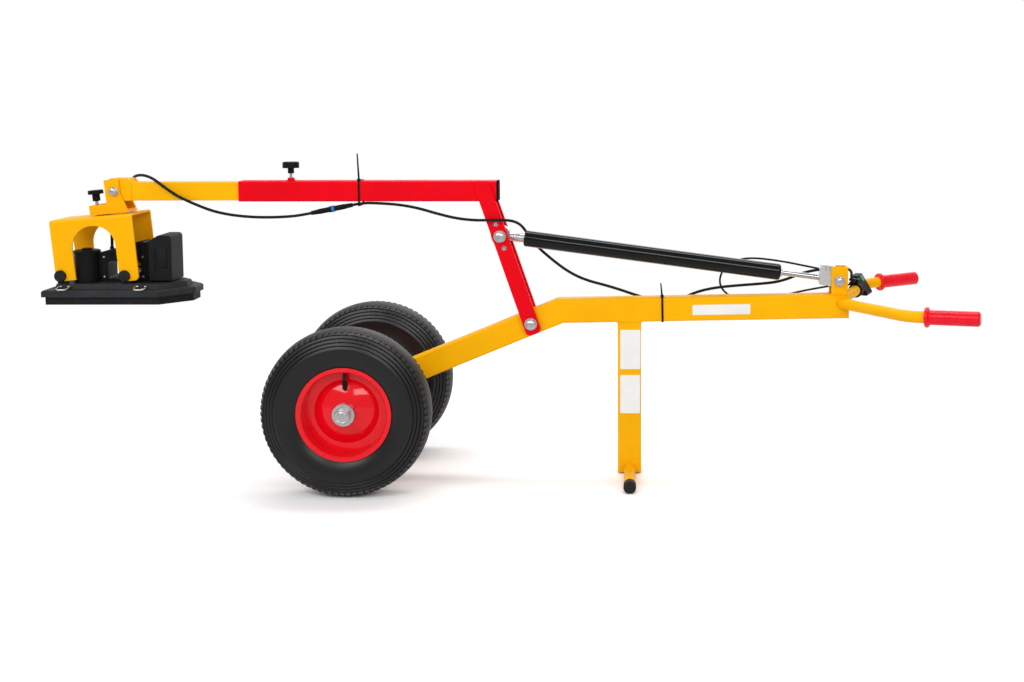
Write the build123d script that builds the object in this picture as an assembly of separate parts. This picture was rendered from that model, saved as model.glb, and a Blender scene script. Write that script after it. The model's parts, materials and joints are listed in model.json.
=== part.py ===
from build123d import *
import math
import os

# Vacuum tile lifter: a two-wheeled trolley whose telescopic boom carries a suction head.
# +X points to the handles, +Y to the far side, +Z up. Lengths are millimetres, angles degrees.
# Places are first measured from the axle on the floor, and the whole is centred at the end.

# Wheels
TYRE_DIAMETER = 400.0
TYRE_WIDTH = 100.0
TREAD_WIDTH = 72.0
TREAD_CROWN = 11.0
TYRE_WALL = 8.0
WIDEST_SHARE = 0.56
BULGE_SHARE = 0.28
BULGE_INSET = 3.0
BEAD_HEEL = 2.0
RIB_COUNT = 4
RIB_DEPTH = 1.8
RIB_FLAT_SHARE = 0.62
RIB_GROOVE_SHARE = 0.8
RIM_SEAT_DIAMETER = 203.6
RIM_FLANGE_DIAMETER = 222.0
RIM_WIDTH = 81.6
RIM_SHEET = 2.5
RIM_DOME_DIAMETER = 152.0
RIM_DOME_RISE = 22.0
RIM_DOME_SHARE = 0.42
RIM_RISE_SHARE = 0.72
RIM_DOME_EDGE = 1.0
TUBE_WALL = 2.5
VALVE_DIAMETER = 8.4
VALVE_LENGTH = 36.0
VALVE_OFFSET = 20.0
VALVE_ROOT = 1.0
WHEEL_TRACK = 356.0
HUB_DIAMETER = 52.0
HUB_LENGTH = 84.0
HUB_SHOULDER = 3.5
BEARING_DIAMETER = 47.0
BEARING_WIDTH = 14.0
AXLE_DIAMETER = 30.0
JOURNAL_DIAMETER = 20.0
AXLE_WASHER_DIAMETER = 37.0
AXLE_WASHER = 2.5
AXLE_NUT_FLATS = 30.0
AXLE_NUT = 8.0
AXLE_END = 2.0

# Chassis beam and stand
BEAM_HEIGHT = 60.0
BEAM_WIDTH = 40.0
BEAM_WALL = 3.0
BEAM_CORNER = 5.0
BEAM_RISE = 6.0
BEAM_TOE = 42.0
BEAM_PITCH = 22.27
KNEE_X = 494.0
TAIL_PITCH = 0.96
BEAM_END_X = 1203.0
LEG_X = 664.0
LEG_DEPTH = 58.0
LEG_WIDTH = 40.0
FOOT_TUBE_DIAMETER = 27.0
FOOT_TUBE_WALL = 2.5
FOOT_LENGTH = 356.0
FOOT_CAP_WALL = 1.5
FOOT_CAP_LENGTH = 22.0
LEG_FLOOR_GAP = 3.0

# Handlebars, their corners measured from the middle of the beam's rear end
BAR_DIAMETER = 27.0
BAR_WALL = 2.5
BAR_ROOT = (-17.0, 18.0, 6.82)
BAR_CORNER = (93.7, 248.0, 15.52)
BAR_END = (237.0, 310.0, 20.82)
BAR_BEND = 86.0
GRIP_LENGTH = 122.0
GRIP_DIAMETER = 34.0
GRIP_FLANGE_DIAMETER = 46.5
GRIP_FLANGE = 9.0
GRIP_END_WALL = 4.0
GRIP_EDGE = 2.0
GRIP_NOSE = 4.0

# Link, boom and telescopic arm
PIVOT_X = 422.0
PIVOT_BOLT_DIAMETER = 16.0
BUSH_DIAMETER = 22.0
LINK_LEAN = 18.9
LINK_WIDTH = 38.0
LINK_PLATE = 8.0
LINK_BELOW = 27.0
LINK_OVER = 16.0
LINK_CHAMFER = 7.0
LINK_TOP_CHAMFER = 2.0
STRUT_UP_LINK = 228.3
SPARE_HOLE_STEP = 31.0
SPARE_HOLE_DIAMETER = 13.0
BOLT_HEAD_FLATS = 21.0
BOLT_HEAD = 10.0
BOLT_WASHER_DIAMETER = 30.0
BOLT_WASHER = 2.5
BOLT_TAIL = 3.0
ARM_RISE = 326.2
OUTER_TUBE = 50.0
OUTER_WALL = 2.5
OUTER_START_X = -289.0
ARM_OVERHANG = 29.7
TUBE_CORNER = 4.0
END_PLUG = 4.0
PLUG_SPIGOT = 16.0
SLIDE_GAP = 0.2
INNER_WALL = 3.0
INNER_START_X = -552.0
INNER_END_X = 40.0
CLAMP_X = -166.0
CLAMP_BOSS_DIAMETER = 17.0
CLAMP_BOSS = 7.0
CLAMP_SCREW_DIAMETER = 8.0
CLAMP_RISE = 18.0
KNOB_DIAMETER = 40.0
KNOB_HEIGHT = 15.0
KNOB_NECK_DIAMETER = 15.0
KNOB_NECK = 13.0
KNOB_LOBES = 5

# Strut between link and rear bracket
STRUT_REAR_X = 1179.0
STRUT_REAR_RISE = 33.0
BARREL_START = 57.5
BARREL_LENGTH = 637.0
BARREL_DIAMETER = 40.0
BARREL_WALL = 2.0
BARREL_CAP = 15.0
BARREL_ROUND = 6.0
GLAND_LENGTH = 25.0
ROD_DIAMETER = 14.0
PISTON_LENGTH = 30.0
PISTON_DEPTH = 200.0
EYE_DIAMETER = 48.0
EYE_WIDTH = 30.0
EYE_PLAY = 6.5
EYE_NECK_DIAMETER = 22.0
HEAD_BLOCK_START = 47.0
HEAD_BLOCK_WIDTH = 28.0
HEAD_BLOCK_TOP = 34.0
HEAD_BLOCK_BELOW = 16.0
HEAD_BLOCK_STEP = 12.0
HEAD_BLOCK_ROUND = 4.0
SLOT_WIDTH = 4.0
SLOT_HEIGHT = 10.0
SLOT_DEPTH = 4.0
SLOT_DROP = 9.0
SLOT_PLACES = (9.0, 18.0)
REAR_BOLT_DIAMETER = 14.0
BRACKET_BEFORE = 19.0
BRACKET_BEHIND = 22.0
BRACKET_TOP_RISE = 67.0
BRACKET_PLATE = 5.0
BRACKET_SINK = 12.0

# Suction head
PIN_X = -591.0
PIN_RISE = 1.0
PIN_DIAMETER = 12.0
HEAD_TILT = 5.0
HUB_FRONT = 20.0
HUB_TOP = 31.0
HUB_CORNER = 12.0
CHEEK = 5.5
CHEEK_GAP = 47.0
CHEEK_FRONT = 22.0
CHEEK_REAR = 13.6
CHEEK_WAIST = 5.0
BRACKET_BASE = 8.0
BRACKET_DROP = 54.0
BRACKET_TOE = 65.0
BRACKET_TOE_HEIGHT = 24.0
BRACKET_HEEL = 29.6
BRACKET_HEAD = 29.0
SWIVEL_BOLT_DIAMETER = 16.0
SWIVEL_NUT_FLATS = 24.0
SWIVEL_NUT = 8.0
SWIVEL_WASHER = 2.5
SWIVEL_WASHER_DIAMETER = 44.0
PLUNGER_REACH = 57.0
INDEX_STEP = 60.0
PLUNGER_PIN_DIAMETER = 8.0
PLUNGER_SLEEVE_DIAMETER = 14.0
PLUNGER_SLEEVE_LENGTH = 24.0
PLUNGER_NUT_FLATS = 18.2
PLUNGER_NUT = 8.0
PLUNGER_REST = 1.0
PLUNGER_LIFT = 0.6
PLUNGER_TRAVEL = 8.0
PLUNGER_KNOB_DIAMETER = 36.0
PLUNGER_KNOB = 10.0
PLUNGER_NECK_DIAMETER = 18.0
PLUNGER_NECK = 17.0
FRAME_SHEET = 5.0
FRAME_WIDTH = 124.0
FRAME_LEFT = 152.0
FRAME_RIGHT = 48.0
FRAME_BEND = 8.0
ARCH_DIAMETER = 106.0
ARCH_X = -51.5
ARCH_DROP = 130.0
ROD_FRONT_X = -714.0
ROD_REAR_X = -559.0
CROSS_ROD_DROP = 203.0
CROSS_ROD_DIAMETER = 12.0
CROSS_ROD_LENGTH = 131.0
ROD_CAP_DIAMETER = 28.0
ROD_CAP_WALL = 3.5
LEG_TIP = 13.0

# Vacuum unit
FLANGE_FRONT_X = -748.0
FLANGE_LENGTH = 349.0
FLANGE_WIDTH = 190.0
FLANGE_TAPER = 67.0
FLANGE_DROP = 47.0
FLANGE_THICK = 16.0
FLANGE_CHAMFER = 3.0
SEAL_HEIGHT = 19.0
SEAL_INSET = 7.0
SEAL_BAND = 26.0
STEP_INSET = 22.0
STEP_HEIGHT = 12.0
STEP_DRAFT = 20.0
CAN_X = -664.0
CAN_Y = -24.0
CAN_DIAMETER = 60.0
CAN_HEIGHT = 78.0
CAN_LID = 8.0
CAN_COLLAR = 1.5
CAN_CHAMFER = 2.0
RELEASE_BUTTON_DIAMETER = 24.0
RELEASE_BUTTON_PROUD = 4.5
RELEASE_BUTTON_SINK = 3.5
RELEASE_WELL = 7.0
RELEASE_BUTTON_ROUND = 1.5
BODY_WIDTH = 56.0
BODY_FRONT_X = -631.0
BODY_FRONT_HEIGHT = 73.0
HANDLE_FRONT_X = -606.0
HANDLE_FRONT_HEIGHT = 78.0
HANDLE_REAR_X = -556.0
HANDLE_REAR_HEIGHT = 93.0
BODY_REAR_X = -521.0
BODY_REAR_HEIGHT = 101.0
BODY_ROUND = 8.0
HANDLE_ROUND = 4.0
HAND_GAP_FRONT_X = -612.0
HAND_GAP_REAR_X = -532.0
HAND_GAP_FLOOR = 7.0
HAND_GAP_HEIGHT = 44.0
DOCK_PLATE = 13.0
DOCK_HEIGHT = 97.0
DOCK_RAIL_LOW = 12.0
DOCK_RAIL_HEIGHT = 72.0
DOCK_RAIL = 7.0
DOCK_RAIL_WIDTH = 36.0
DOCK_NECK_WIDTH = 24.0
BATTERY_DEPTH = 56.0
BATTERY_WIDTH = 84.0
BATTERY_HEIGHT = 112.0
BATTERY_LIFT = 3.0
BATTERY_EDGE = 3.0
BATTERY_CROWN = 9.0
BATTERY_SHOULDER = 14.0
BATTERY_SLOPE = 24.0
PANEL_RECESS = 1.5
LUG_WIDTH = 22.0
LUG_SINK = 1.0
LUG_SPREAD = 96.0
RING_WIRE = 4.0
RING_WIDTH = 26.0
RING_REACH = 24.0
RING_FRONT_X = -699.0
RING_REAR_X = -514.0
RING_LUG = 12.0
RING_LUG_ROOT = 12.0
RING_LUG_WALL = 2.5
RING_BELOW_DECK = 3.0

# Hand controls on the far handlebar
SWITCH_ALONG = 199.0
SWITCH_LENGTH = 46.0
SWITCH_BACK = 21.5
SWITCH_TOP = 33.0
SWITCH_TOP_DEPTH = 18.5
SWITCH_SLANT = 31.9
SWITCH_UNDER = 17.5
SWITCH_LIP = 6.0
SWITCH_ROUND = 3.0
BUTTON_WIDTH = 17.0
BUTTON_HEIGHT = 16.0
BUTTON_PROUD = 3.0
BUTTON_WELL = 4.0
BUTTON_TRAVEL = 1.5
BUTTON_INSET = 3.0
PERCH_ALONG = 160.0
PERCH_LENGTH = 26.0
PERCH_WALL = 5.0
PERCH_HEIGHT = 29.0
PERCH_CHEEKS = 16.0
FERRULE_DIAMETER = 10.0
FERRULE_Y = 12.0
FERRULE_Z = 18.0
LEVER_LENGTH = 48.0
LEVER_THICK = 5.0
LEVER_PIN_DIAMETER = 6.0
LEVER_PIN_HEIGHT = 24.5
LEVER_PAD = 16.0
LEVER_BOSS = 7.0
LEVER_HALF_HEIGHT = 5.0
LEVER_RISE = 7.0
CABLE_GLAND_DIAMETER = 10.0
CABLE_GLAND = 10.0

# Cables and ties
CABLE_DIAMETER = 7.0
RELEASE_CABLE_DIAMETER = 5.0
CONNECTOR_DIAMETER = 15.0
CONNECTOR_STEP = 1.0
CONNECTOR_RING = 45.0
CONNECTOR_SHARE = 0.52
BOOT_WALL = 1.5
BOOT_LENGTH = 18.0
BOOT_SHOULDER = 2.0
TIE_WIDTH = 4.8
TIE_THICK = 1.4
TIE_ROOM = 9.6
TIE_HEAD = 8.0
ARM_TIE_X = 5.0
ARM_TIE_TAIL = 66.0
ARM_TIE_HEAD_Y = -22.0
BEAM_TIE_BEHIND = 81.0
BEAM_TIE_TAIL = 34.0
BEAM_TIE_HEAD_Y = -17.0
TIE_LEAN = 3.0
TIE_TIP = 3.0
# Heights of arm and beam end for which the cable routes are given; the routes move with both.
ROUTE_ARM_HEIGHT = 705.0
ROUTE_TAIL_HEIGHT = 420.18

# Clearances
RUN_FIT = 0.05
FREE_GAP = 0.3
BOLT_GAP = 0.2

# Places worked out from the sizes above
AXLE_HEIGHT = TYRE_DIAMETER / 2
TAN_PITCH = math.tan(math.radians(BEAM_PITCH))
TAN_TAIL = math.tan(math.radians(TAIL_PITCH))


def beam_centre(x):
    """Height of the beam's centre line at a place along the trolley."""
    knee = AXLE_HEIGHT + BEAM_RISE + KNEE_X * TAN_PITCH
    return knee + (x - KNEE_X) * (TAN_PITCH if x < KNEE_X else TAN_TAIL)


LINK_SIN = math.sin(math.radians(LINK_LEAN))
LINK_COS = math.cos(math.radians(LINK_LEAN))
PIVOT_Z = beam_centre(PIVOT_X)
TAIL_Z = beam_centre(BEAM_END_X)
BEAM_TIE_X = LEG_X + BEAM_TIE_BEHIND
ARM_HEIGHT = PIVOT_Z + ARM_RISE
LINK_ABOVE = (ARM_RISE + LINK_OVER) / LINK_COS
OUTER_END_X = PIVOT_X - ARM_RISE * LINK_SIN / LINK_COS + ARM_OVERHANG
PIN_HEIGHT = ARM_HEIGHT + PIN_RISE
CROSS_ROD_HEIGHT = PIN_HEIGHT - CROSS_ROD_DROP
FLANGE_BOTTOM = CROSS_ROD_HEIGHT - FLANGE_DROP


def on_link(distance):
    """Point on the link's centre line, measured up from its pivot."""
    return (PIVOT_X - distance * LINK_SIN, PIVOT_Z + distance * LINK_COS)


STRUT_FRONT_X, STRUT_FRONT_Z = on_link(STRUT_UP_LINK)
STRUT_REAR_Z = beam_centre(STRUT_REAR_X) + BEAM_HEIGHT / 2 + STRUT_REAR_RISE
BRACKET_START_X = STRUT_REAR_X - BRACKET_BEFORE
BRACKET_END_X = STRUT_REAR_X + BRACKET_BEHIND
STRUT_LENGTH = math.hypot(STRUT_REAR_X - STRUT_FRONT_X, STRUT_FRONT_Z - STRUT_REAR_Z)
STRUT_PITCH = math.degrees(math.atan2(STRUT_FRONT_Z - STRUT_REAR_Z, STRUT_REAR_X - STRUT_FRONT_X))
STRUT_PLACE = Pos(STRUT_FRONT_X, 0, STRUT_FRONT_Z) * Rot(0, STRUT_PITCH, 0)
INNER_TUBE = OUTER_TUBE - 2 * OUTER_WALL - 2 * SLIDE_GAP
HEAD_PLACE = Pos(PIN_X, 0, PIN_HEIGHT) * Rot(0, -HEAD_TILT, 0)
FRAME_TOP = -BRACKET_DROP - SWIVEL_WASHER
DECK = FLANGE_BOTTOM + FLANGE_THICK + STEP_HEIGHT

NODES = {}


def keep(name, *shapes):
    """Store one named piece, made of one or more separate solids."""
    solids = [solid for shape in shapes for solid in shape.solids()]
    NODES[name] = solids[0] if len(solids) == 1 else Compound(solids)


def block(x, y, z):
    """Box between two corners, each direction given as (low, high)."""
    size = [high - low for low, high in (x, y, z)]
    middle = [(high + low) / 2 for low, high in (x, y, z)]
    return Pos(*middle) * Box(*size)


def round_x(diameter, low, high, y=0.0, z=0.0):
    """Round bar along X."""
    return Pos((low + high) / 2, y, z) * Rot(0, 90, 0) * Cylinder(diameter / 2, high - low)


def round_y(diameter, low, high, x=0.0, z=0.0):
    """Round bar along Y."""
    return Pos(x, (low + high) / 2, z) * Rot(90, 0, 0) * Cylinder(diameter / 2, high - low)


def round_z(diameter, low, high, x=0.0, y=0.0):
    """Round bar along Z."""
    return Pos(x, y, (low + high) / 2) * Cylinder(diameter / 2, high - low)


def slab(face, low, high):
    """Side view drawn in X and Z, made thick between two places along Y."""
    return extrude(Plane.XZ.offset(-high) * face, high - low)


def outline(*points):
    """Closed face through straight corners."""
    return make_face(Polyline(*points, close=True))


def hexagon_y(flats, low, high, x, z):
    """Hexagonal bar along Y."""
    face = Pos(x, z) * RegularPolygon(flats / 2, 6, major_radius=False)
    return slab(face, low, high)


def square_tube(side, wall, corner, low, high):
    """Square tube along X, centred on the X axis."""
    outer = RectangleRounded(side, side, corner)
    inner = RectangleRounded(side - 2 * wall, side - 2 * wall, max(corner - wall, 0.5))
    return extrude(Plane.YZ.offset(low) * (outer - inner), high - low)


def bolt_y(diameter, grip, x, z):
    """Hexagon bolt along Y through a stack of half thickness grip, with washers and its nut."""
    washer_face = grip + BOLT_WASHER
    head_face = washer_face + BOLT_HEAD
    scale = diameter / PIVOT_BOLT_DIAMETER
    flats = BOLT_HEAD_FLATS * scale
    washer = BOLT_WASHER_DIAMETER * scale
    shank = round_y(diameter, -washer_face, head_face + BOLT_TAIL, x, z)
    bolt = shank + hexagon_y(flats, -head_face, -washer_face, x, z)
    nut = hexagon_y(flats, washer_face, head_face, x, z)
    nut -= round_y(diameter + 2 * RUN_FIT, washer_face, head_face, x, z)
    rings = []
    for low, high in ((-washer_face, -grip), (grip, washer_face)):
        ring = round_y(washer, low, high, x, z)
        rings.append(ring - round_y(diameter + 2 * RUN_FIT, low, high, x, z))
    return [bolt, nut] + rings


def tyre_face():
    """Half section of the tyre in radius and width, with ribbed shoulders and an open bead."""
    crown = TYRE_DIAMETER / 2
    seat = RIM_SEAT_DIAMETER / 2 + RUN_FIT
    bead = RIM_WIDTH / 2 - RIM_SHEET - RUN_FIT
    flange = RIM_FLANGE_DIAMETER / 2
    half = TYRE_WIDTH / 2
    shoulder = (crown - TREAD_CROWN, TREAD_WIDTH / 2)
    wall_end = (seat + WIDEST_SHARE * (crown - seat), half)
    right = [(seat, bead), (flange + FREE_GAP, bead)]
    curve = ThreePointArc(right[1], (seat + BULGE_SHARE * (crown - seat), half - BULGE_INSET), wall_end)
    rib = [(shoulder[0] - wall_end[0]) / RIB_COUNT, (shoulder[1] - wall_end[1]) / RIB_COUNT]
    ribs = [wall_end]
    for i in range(RIB_COUNT):
        start = (wall_end[0] + i * rib[0], wall_end[1] + i * rib[1])
        ribs.append((start[0] + RIB_FLAT_SHARE * rib[0], start[1] + RIB_FLAT_SHARE * rib[1]))
        groove = (start[0] + RIB_GROOVE_SHARE * rib[0], start[1] + RIB_GROOVE_SHARE * rib[1])
        ribs.append((groove[0], groove[1] - RIB_DEPTH))
        ribs.append((start[0] + rib[0], start[1] + rib[1]))
    bow = crown - seat - TYRE_WALL
    inner_bead = (seat, bead - TYRE_WALL - BEAD_HEEL)
    inner_low = (flange + FREE_GAP, bead - TYRE_WALL - BEAD_HEEL / 2)
    inner_wall = (seat + WIDEST_SHARE * bow, half - TYRE_WALL)
    inner_top = (seat + bow, 0)
    profile = [
        Line(right[0], right[1]),
        curve,
        Polyline(*ribs),
        ThreePointArc(ribs[-1], (crown - TREAD_CROWN * 0.25, shoulder[1] / 2), (crown, 0)),
        Line((crown, 0), inner_top),
        ThreePointArc(inner_top, (seat + 0.9 * bow, 0.62 * half), inner_wall),
        ThreePointArc(inner_wall, (seat + BULGE_SHARE * bow, half - TYRE_WALL - BULGE_INSET), inner_low),
        Polyline(inner_low, inner_bead, right[0]),
    ]
    half_face = make_face(Curve() + profile)
    return half_face + mirror(half_face, about=Plane.XZ)


def tube_face():
    """Section of the inner tube, filling the tyre."""
    seat = RIM_SEAT_DIAMETER / 2 + FREE_GAP
    bow = TYRE_DIAMETER / 2 - RIM_SEAT_DIAMETER / 2 - TYRE_WALL - 2 * FREE_GAP
    bead = RIM_WIDTH / 2 - RIM_SHEET - TYRE_WALL - BEAD_HEEL - FREE_GAP - RUN_FIT
    half = TYRE_WIDTH / 2 - TYRE_WALL - FREE_GAP
    wall = (seat + WIDEST_SHARE * bow, half)
    low = (seat + 0.1 * bow, bead)
    top = (seat + bow, 0)
    profile = [
        Polyline((seat, 0), (seat, bead), low),
        ThreePointArc(low, (seat + BULGE_SHARE * bow, half - BULGE_INSET - 2 * FREE_GAP), wall),
        ThreePointArc(wall, (seat + 0.9 * bow, 0.6 * half), top),
        Line(top, (seat, 0)),
    ]
    half_face = make_face(Curve() + profile)
    return half_face + mirror(half_face, about=Plane.XZ)


def rim_half_face():
    """Section of one pressed rim half: flange, bead seat, flat joint band and centre dome."""
    seat = RIM_SEAT_DIAMETER / 2
    flange = RIM_FLANGE_DIAMETER / 2
    edge = RIM_WIDTH / 2
    dome = RIM_DOME_DIAMETER / 2
    hub = HUB_DIAMETER / 2
    t = RIM_SHEET
    middle = hub + RIM_DOME_SHARE * (dome - hub)
    rise = RIM_RISE_SHARE * RIM_DOME_RISE
    under = dome - RIM_DOME_EDGE
    profile = [
        Polyline((hub, RIM_DOME_RISE), (hub, RIM_DOME_RISE + t)),
        ThreePointArc((hub, RIM_DOME_RISE + t), (middle, rise + t), (dome, t)),
        Polyline(
            (dome, t),
            (seat - t, t),
            (seat - t, edge - t),
            (seat, edge),
            (flange, edge),
            (flange, edge - t),
            (seat, edge - t),
            (seat, 0),
            (under, 0),
        ),
        ThreePointArc((under, 0), (middle - RIM_DOME_EDGE, rise), (hub, RIM_DOME_RISE)),
    ]
    return make_face(Curve() + profile)


def wheel(name, side):
    """One pneumatic wheel. Its valve is on the side that faces away from the chassis."""
    place = Pos(0, side * WHEEL_TRACK / 2, AXLE_HEIGHT)
    seat = RIM_SEAT_DIAMETER / 2
    valve_y = side * VALVE_OFFSET
    keep(f"tyre_{name}", place * revolve(tyre_face(), Axis.Y))

    section = tube_face()
    tube = revolve(section, Axis.Y) - revolve(offset(section, -TUBE_WALL), Axis.Y)
    tube += round_z(VALVE_DIAMETER, seat - VALVE_LENGTH, seat + FREE_GAP + VALVE_ROOT, 0, valve_y)
    tube -= round_z(VALVE_DIAMETER / 3, seat - VALVE_LENGTH, seat + 2 * TUBE_WALL, 0, valve_y)
    keep(f"inner_tube_{name}", place * tube)

    outer_half = revolve(rim_half_face(), Axis.Y)
    halves = [outer_half, mirror(outer_half, about=Plane.XZ)]
    hole = round_z(VALVE_DIAMETER + 2 * FREE_GAP, seat - 4 * RIM_SHEET, seat + RIM_SHEET, 0, valve_y)
    keep(f"rim_{name}", *[place * (half - hole) for half in halves])

    shoulder = HUB_LENGTH - 2 * BEARING_WIDTH
    hub = round_y(HUB_DIAMETER, -HUB_LENGTH / 2, HUB_LENGTH / 2)
    hub -= round_y(BEARING_DIAMETER - 2 * HUB_SHOULDER, -HUB_LENGTH / 2, HUB_LENGTH / 2)
    bearings = []
    for end in (-1, 1):
        low, high = sorted((end * shoulder / 2, end * HUB_LENGTH / 2))
        hub -= round_y(BEARING_DIAMETER, low, high)
        ring = round_y(BEARING_DIAMETER, low, high)
        bearings.append(ring - round_y(JOURNAL_DIAMETER + 2 * RUN_FIT, low, high))
    keep(f"hub_{name}", *[place * piece for piece in [hub] + bearings])


def axle():
    """Stepped axle with a washer and nut outside each hub."""
    hub_in = (WHEEL_TRACK - HUB_LENGTH) / 2 - FREE_GAP
    hub_out = (WHEEL_TRACK + HUB_LENGTH) / 2 + FREE_GAP
    washer_out = hub_out + AXLE_WASHER
    nut_out = washer_out + AXLE_NUT
    bar = round_y(AXLE_DIAMETER, -hub_in, hub_in, 0, AXLE_HEIGHT)
    bar += round_y(JOURNAL_DIAMETER, -nut_out - AXLE_END, nut_out + AXLE_END, 0, AXLE_HEIGHT)
    pieces = [bar]
    bore = JOURNAL_DIAMETER + 2 * RUN_FIT
    for side in (-1, 1):
        low, high = sorted((side * hub_out, side * washer_out))
        washer = round_y(AXLE_WASHER_DIAMETER, low, high, 0, AXLE_HEIGHT)
        pieces.append(washer - round_y(bore, low, high, 0, AXLE_HEIGHT))
        low, high = sorted((side * washer_out, side * nut_out))
        nut = hexagon_y(AXLE_NUT_FLATS, low, high, 0, AXLE_HEIGHT)
        pieces.append(nut - round_y(bore, low, high, 0, AXLE_HEIGHT))
    keep("axle", *pieces)


def beam_bar(height, width, corner, inset):
    """Bent bar along the beam's centre line, its two ends drawn in by inset."""
    cos_pitch = math.cos(math.radians(BEAM_PITCH))
    start = -(BEAM_TOE - inset) * cos_pitch
    stop = BEAM_END_X - inset
    half = math.radians((BEAM_PITCH + TAIL_PITCH) / 2)
    knee = Plane((KNEE_X, 0, beam_centre(KNEE_X)), z_dir=(math.cos(half), 0, math.sin(half)))
    bars = []
    for x, angle, away in ((start, BEAM_PITCH, 1), (stop, TAIL_PITCH, -1)):
        turn = math.radians(angle)
        along = Vector(math.cos(turn), 0, math.sin(turn)) * away
        end = Plane((x, 0, beam_centre(x)), x_dir=(0, 1, 0), z_dir=along)
        reach = abs(KNEE_X - x) / math.cos(turn) + height
        bar = extrude(end * RectangleRounded(width, height, corner), reach)
        bars.append(split(bar, knee, keep=Keep.BOTTOM if away > 0 else Keep.TOP))
    return bars[0] + bars[1]


def chassis():
    """Beam, stand, rear bracket, handlebars and the strut's rear bolt."""
    solid_beam = beam_bar(BEAM_HEIGHT, BEAM_WIDTH, BEAM_CORNER, 0)
    hollow = beam_bar(
        BEAM_HEIGHT - 2 * BEAM_WALL, BEAM_WIDTH - 2 * BEAM_WALL, BEAM_CORNER - BEAM_WALL, BEAM_WALL
    )
    half = BEAM_WIDTH / 2
    beam = solid_beam - hollow
    beam -= round_y(AXLE_DIAMETER + 2 * RUN_FIT, -half, half, 0, AXLE_HEIGHT)
    beam -= round_y(BUSH_DIAMETER + 2 * RUN_FIT, -half, half, PIVOT_X, PIVOT_Z)
    keep("chassis_beam", beam)

    bush_half = OUTER_TUBE / 2 - FREE_GAP
    bush = round_y(BUSH_DIAMETER, -bush_half, bush_half, PIVOT_X, PIVOT_Z)
    bush -= round_y(PIVOT_BOLT_DIAMETER + 2 * RUN_FIT, -bush_half, bush_half, PIVOT_X, PIVOT_Z)
    keep("pivot_bush", bush)

    foot_z = FOOT_TUBE_DIAMETER / 2 + FOOT_CAP_WALL
    leg_x = (LEG_X - LEG_DEPTH / 2, LEG_X + LEG_DEPTH / 2)
    leg_y = (-LEG_WIDTH / 2, LEG_WIDTH / 2)
    leg_z = (LEG_FLOOR_GAP, beam_centre(LEG_X))
    leg = fillet(block(leg_x, leg_y, leg_z).edges().filter_by(Axis.Z), BEAM_CORNER)
    leg -= block(
        (leg_x[0] + BEAM_WALL, leg_x[1] - BEAM_WALL), (leg_y[0] + BEAM_WALL, leg_y[1] - BEAM_WALL), leg_z
    )
    half_foot = FOOT_LENGTH / 2
    foot = round_y(FOOT_TUBE_DIAMETER, -half_foot, half_foot, LEG_X, foot_z)
    leg = leg - solid_beam - foot
    foot -= round_y(FOOT_TUBE_DIAMETER - 2 * FOOT_TUBE_WALL, -half_foot, half_foot, LEG_X, foot_z)
    keep("stand_leg", leg, foot)

    caps = []
    for side in (-1, 1):
        low, high = sorted((side * (half_foot - FOOT_CAP_LENGTH), side * (half_foot + FOOT_CAP_WALL)))
        cap = round_y(FOOT_TUBE_DIAMETER + 2 * FOOT_CAP_WALL, low, high, LEG_X, foot_z)
        rim = cap.faces().sort_by(Axis.Y)[0 if side < 0 else -1].edges()
        cap = fillet(rim, FOOT_CAP_WALL * 0.9)
        caps.append(cap - round_y(FOOT_TUBE_DIAMETER, -half_foot, half_foot, LEG_X, foot_z))
    keep("foot_caps", *caps)

    top = beam_centre(STRUT_REAR_X) + BEAM_HEIGHT / 2 + BRACKET_TOP_RISE
    sunk = top - BRACKET_TOP_RISE - BRACKET_SINK
    bracket = block((BRACKET_START_X, BRACKET_END_X), (-half, half), (sunk, top))
    bracket = fillet(bracket.edges().filter_by(Axis.Z).sort_by(Axis.X)[-2:], BRACKET_PLATE)
    inside = half - BRACKET_PLATE
    bracket -= block(
        (BRACKET_START_X, BRACKET_END_X - BRACKET_PLATE), (-inside, inside), (sunk, top)
    )
    bracket -= solid_beam
    bracket -= round_y(REAR_BOLT_DIAMETER + 2 * RUN_FIT, -half, half, STRUT_REAR_X, STRUT_REAR_Z)
    keep("rear_bracket", bracket)
    keep("rear_bolt", *bolt_y(REAR_BOLT_DIAMETER, half, STRUT_REAR_X, STRUT_REAR_Z))

    grips = []
    for name, side in (("near", -1), ("far", 1)):
        places = [bar_point(point, side) for point in (BAR_ROOT, BAR_CORNER, BAR_END)]
        path = FilletPolyline(*places, radius=BAR_BEND)
        root = Plane(path @ 0, z_dir=path % 0)
        tube = sweep(root * Circle(BAR_DIAMETER / 2), path)
        tube -= sweep(root * Circle(BAR_DIAMETER / 2 - BAR_WALL), path)
        keep(f"handlebar_{name}", tube - solid_beam)
        grips.append(grip(places[1], places[2]))
    keep("hand_grips", *grips)


def bar_point(point, side):
    """Corner of a handlebar on one side of the beam."""
    x, y, z = point
    return Vector(BEAM_END_X + x, side * y, TAIL_Z + z)


def grip(corner, end):
    """Moulded grip with a flange, pushed over the end of a handlebar."""
    along = (end - corner).normalized()
    bore = BAR_DIAMETER / 2
    body = GRIP_DIAMETER / 2
    flange = GRIP_FLANGE_DIAMETER / 2
    section = outline(
        (bore, 0),
        (flange - GRIP_EDGE, 0),
        (flange, GRIP_EDGE),
        (flange, GRIP_FLANGE - GRIP_EDGE),
        (body, GRIP_FLANGE + GRIP_EDGE),
        (body, GRIP_LENGTH - GRIP_NOSE),
        (body - GRIP_NOSE, GRIP_LENGTH),
        (0, GRIP_LENGTH),
        (0, GRIP_LENGTH - GRIP_END_WALL),
        (bore, GRIP_LENGTH - GRIP_END_WALL),
    )
    start = end - along * (GRIP_LENGTH - GRIP_END_WALL)
    return Plane(start, x_dir=(0, 0, 1), z_dir=along) * (Rot(90, 0, 0) * revolve(section, Axis.Y))


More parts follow.
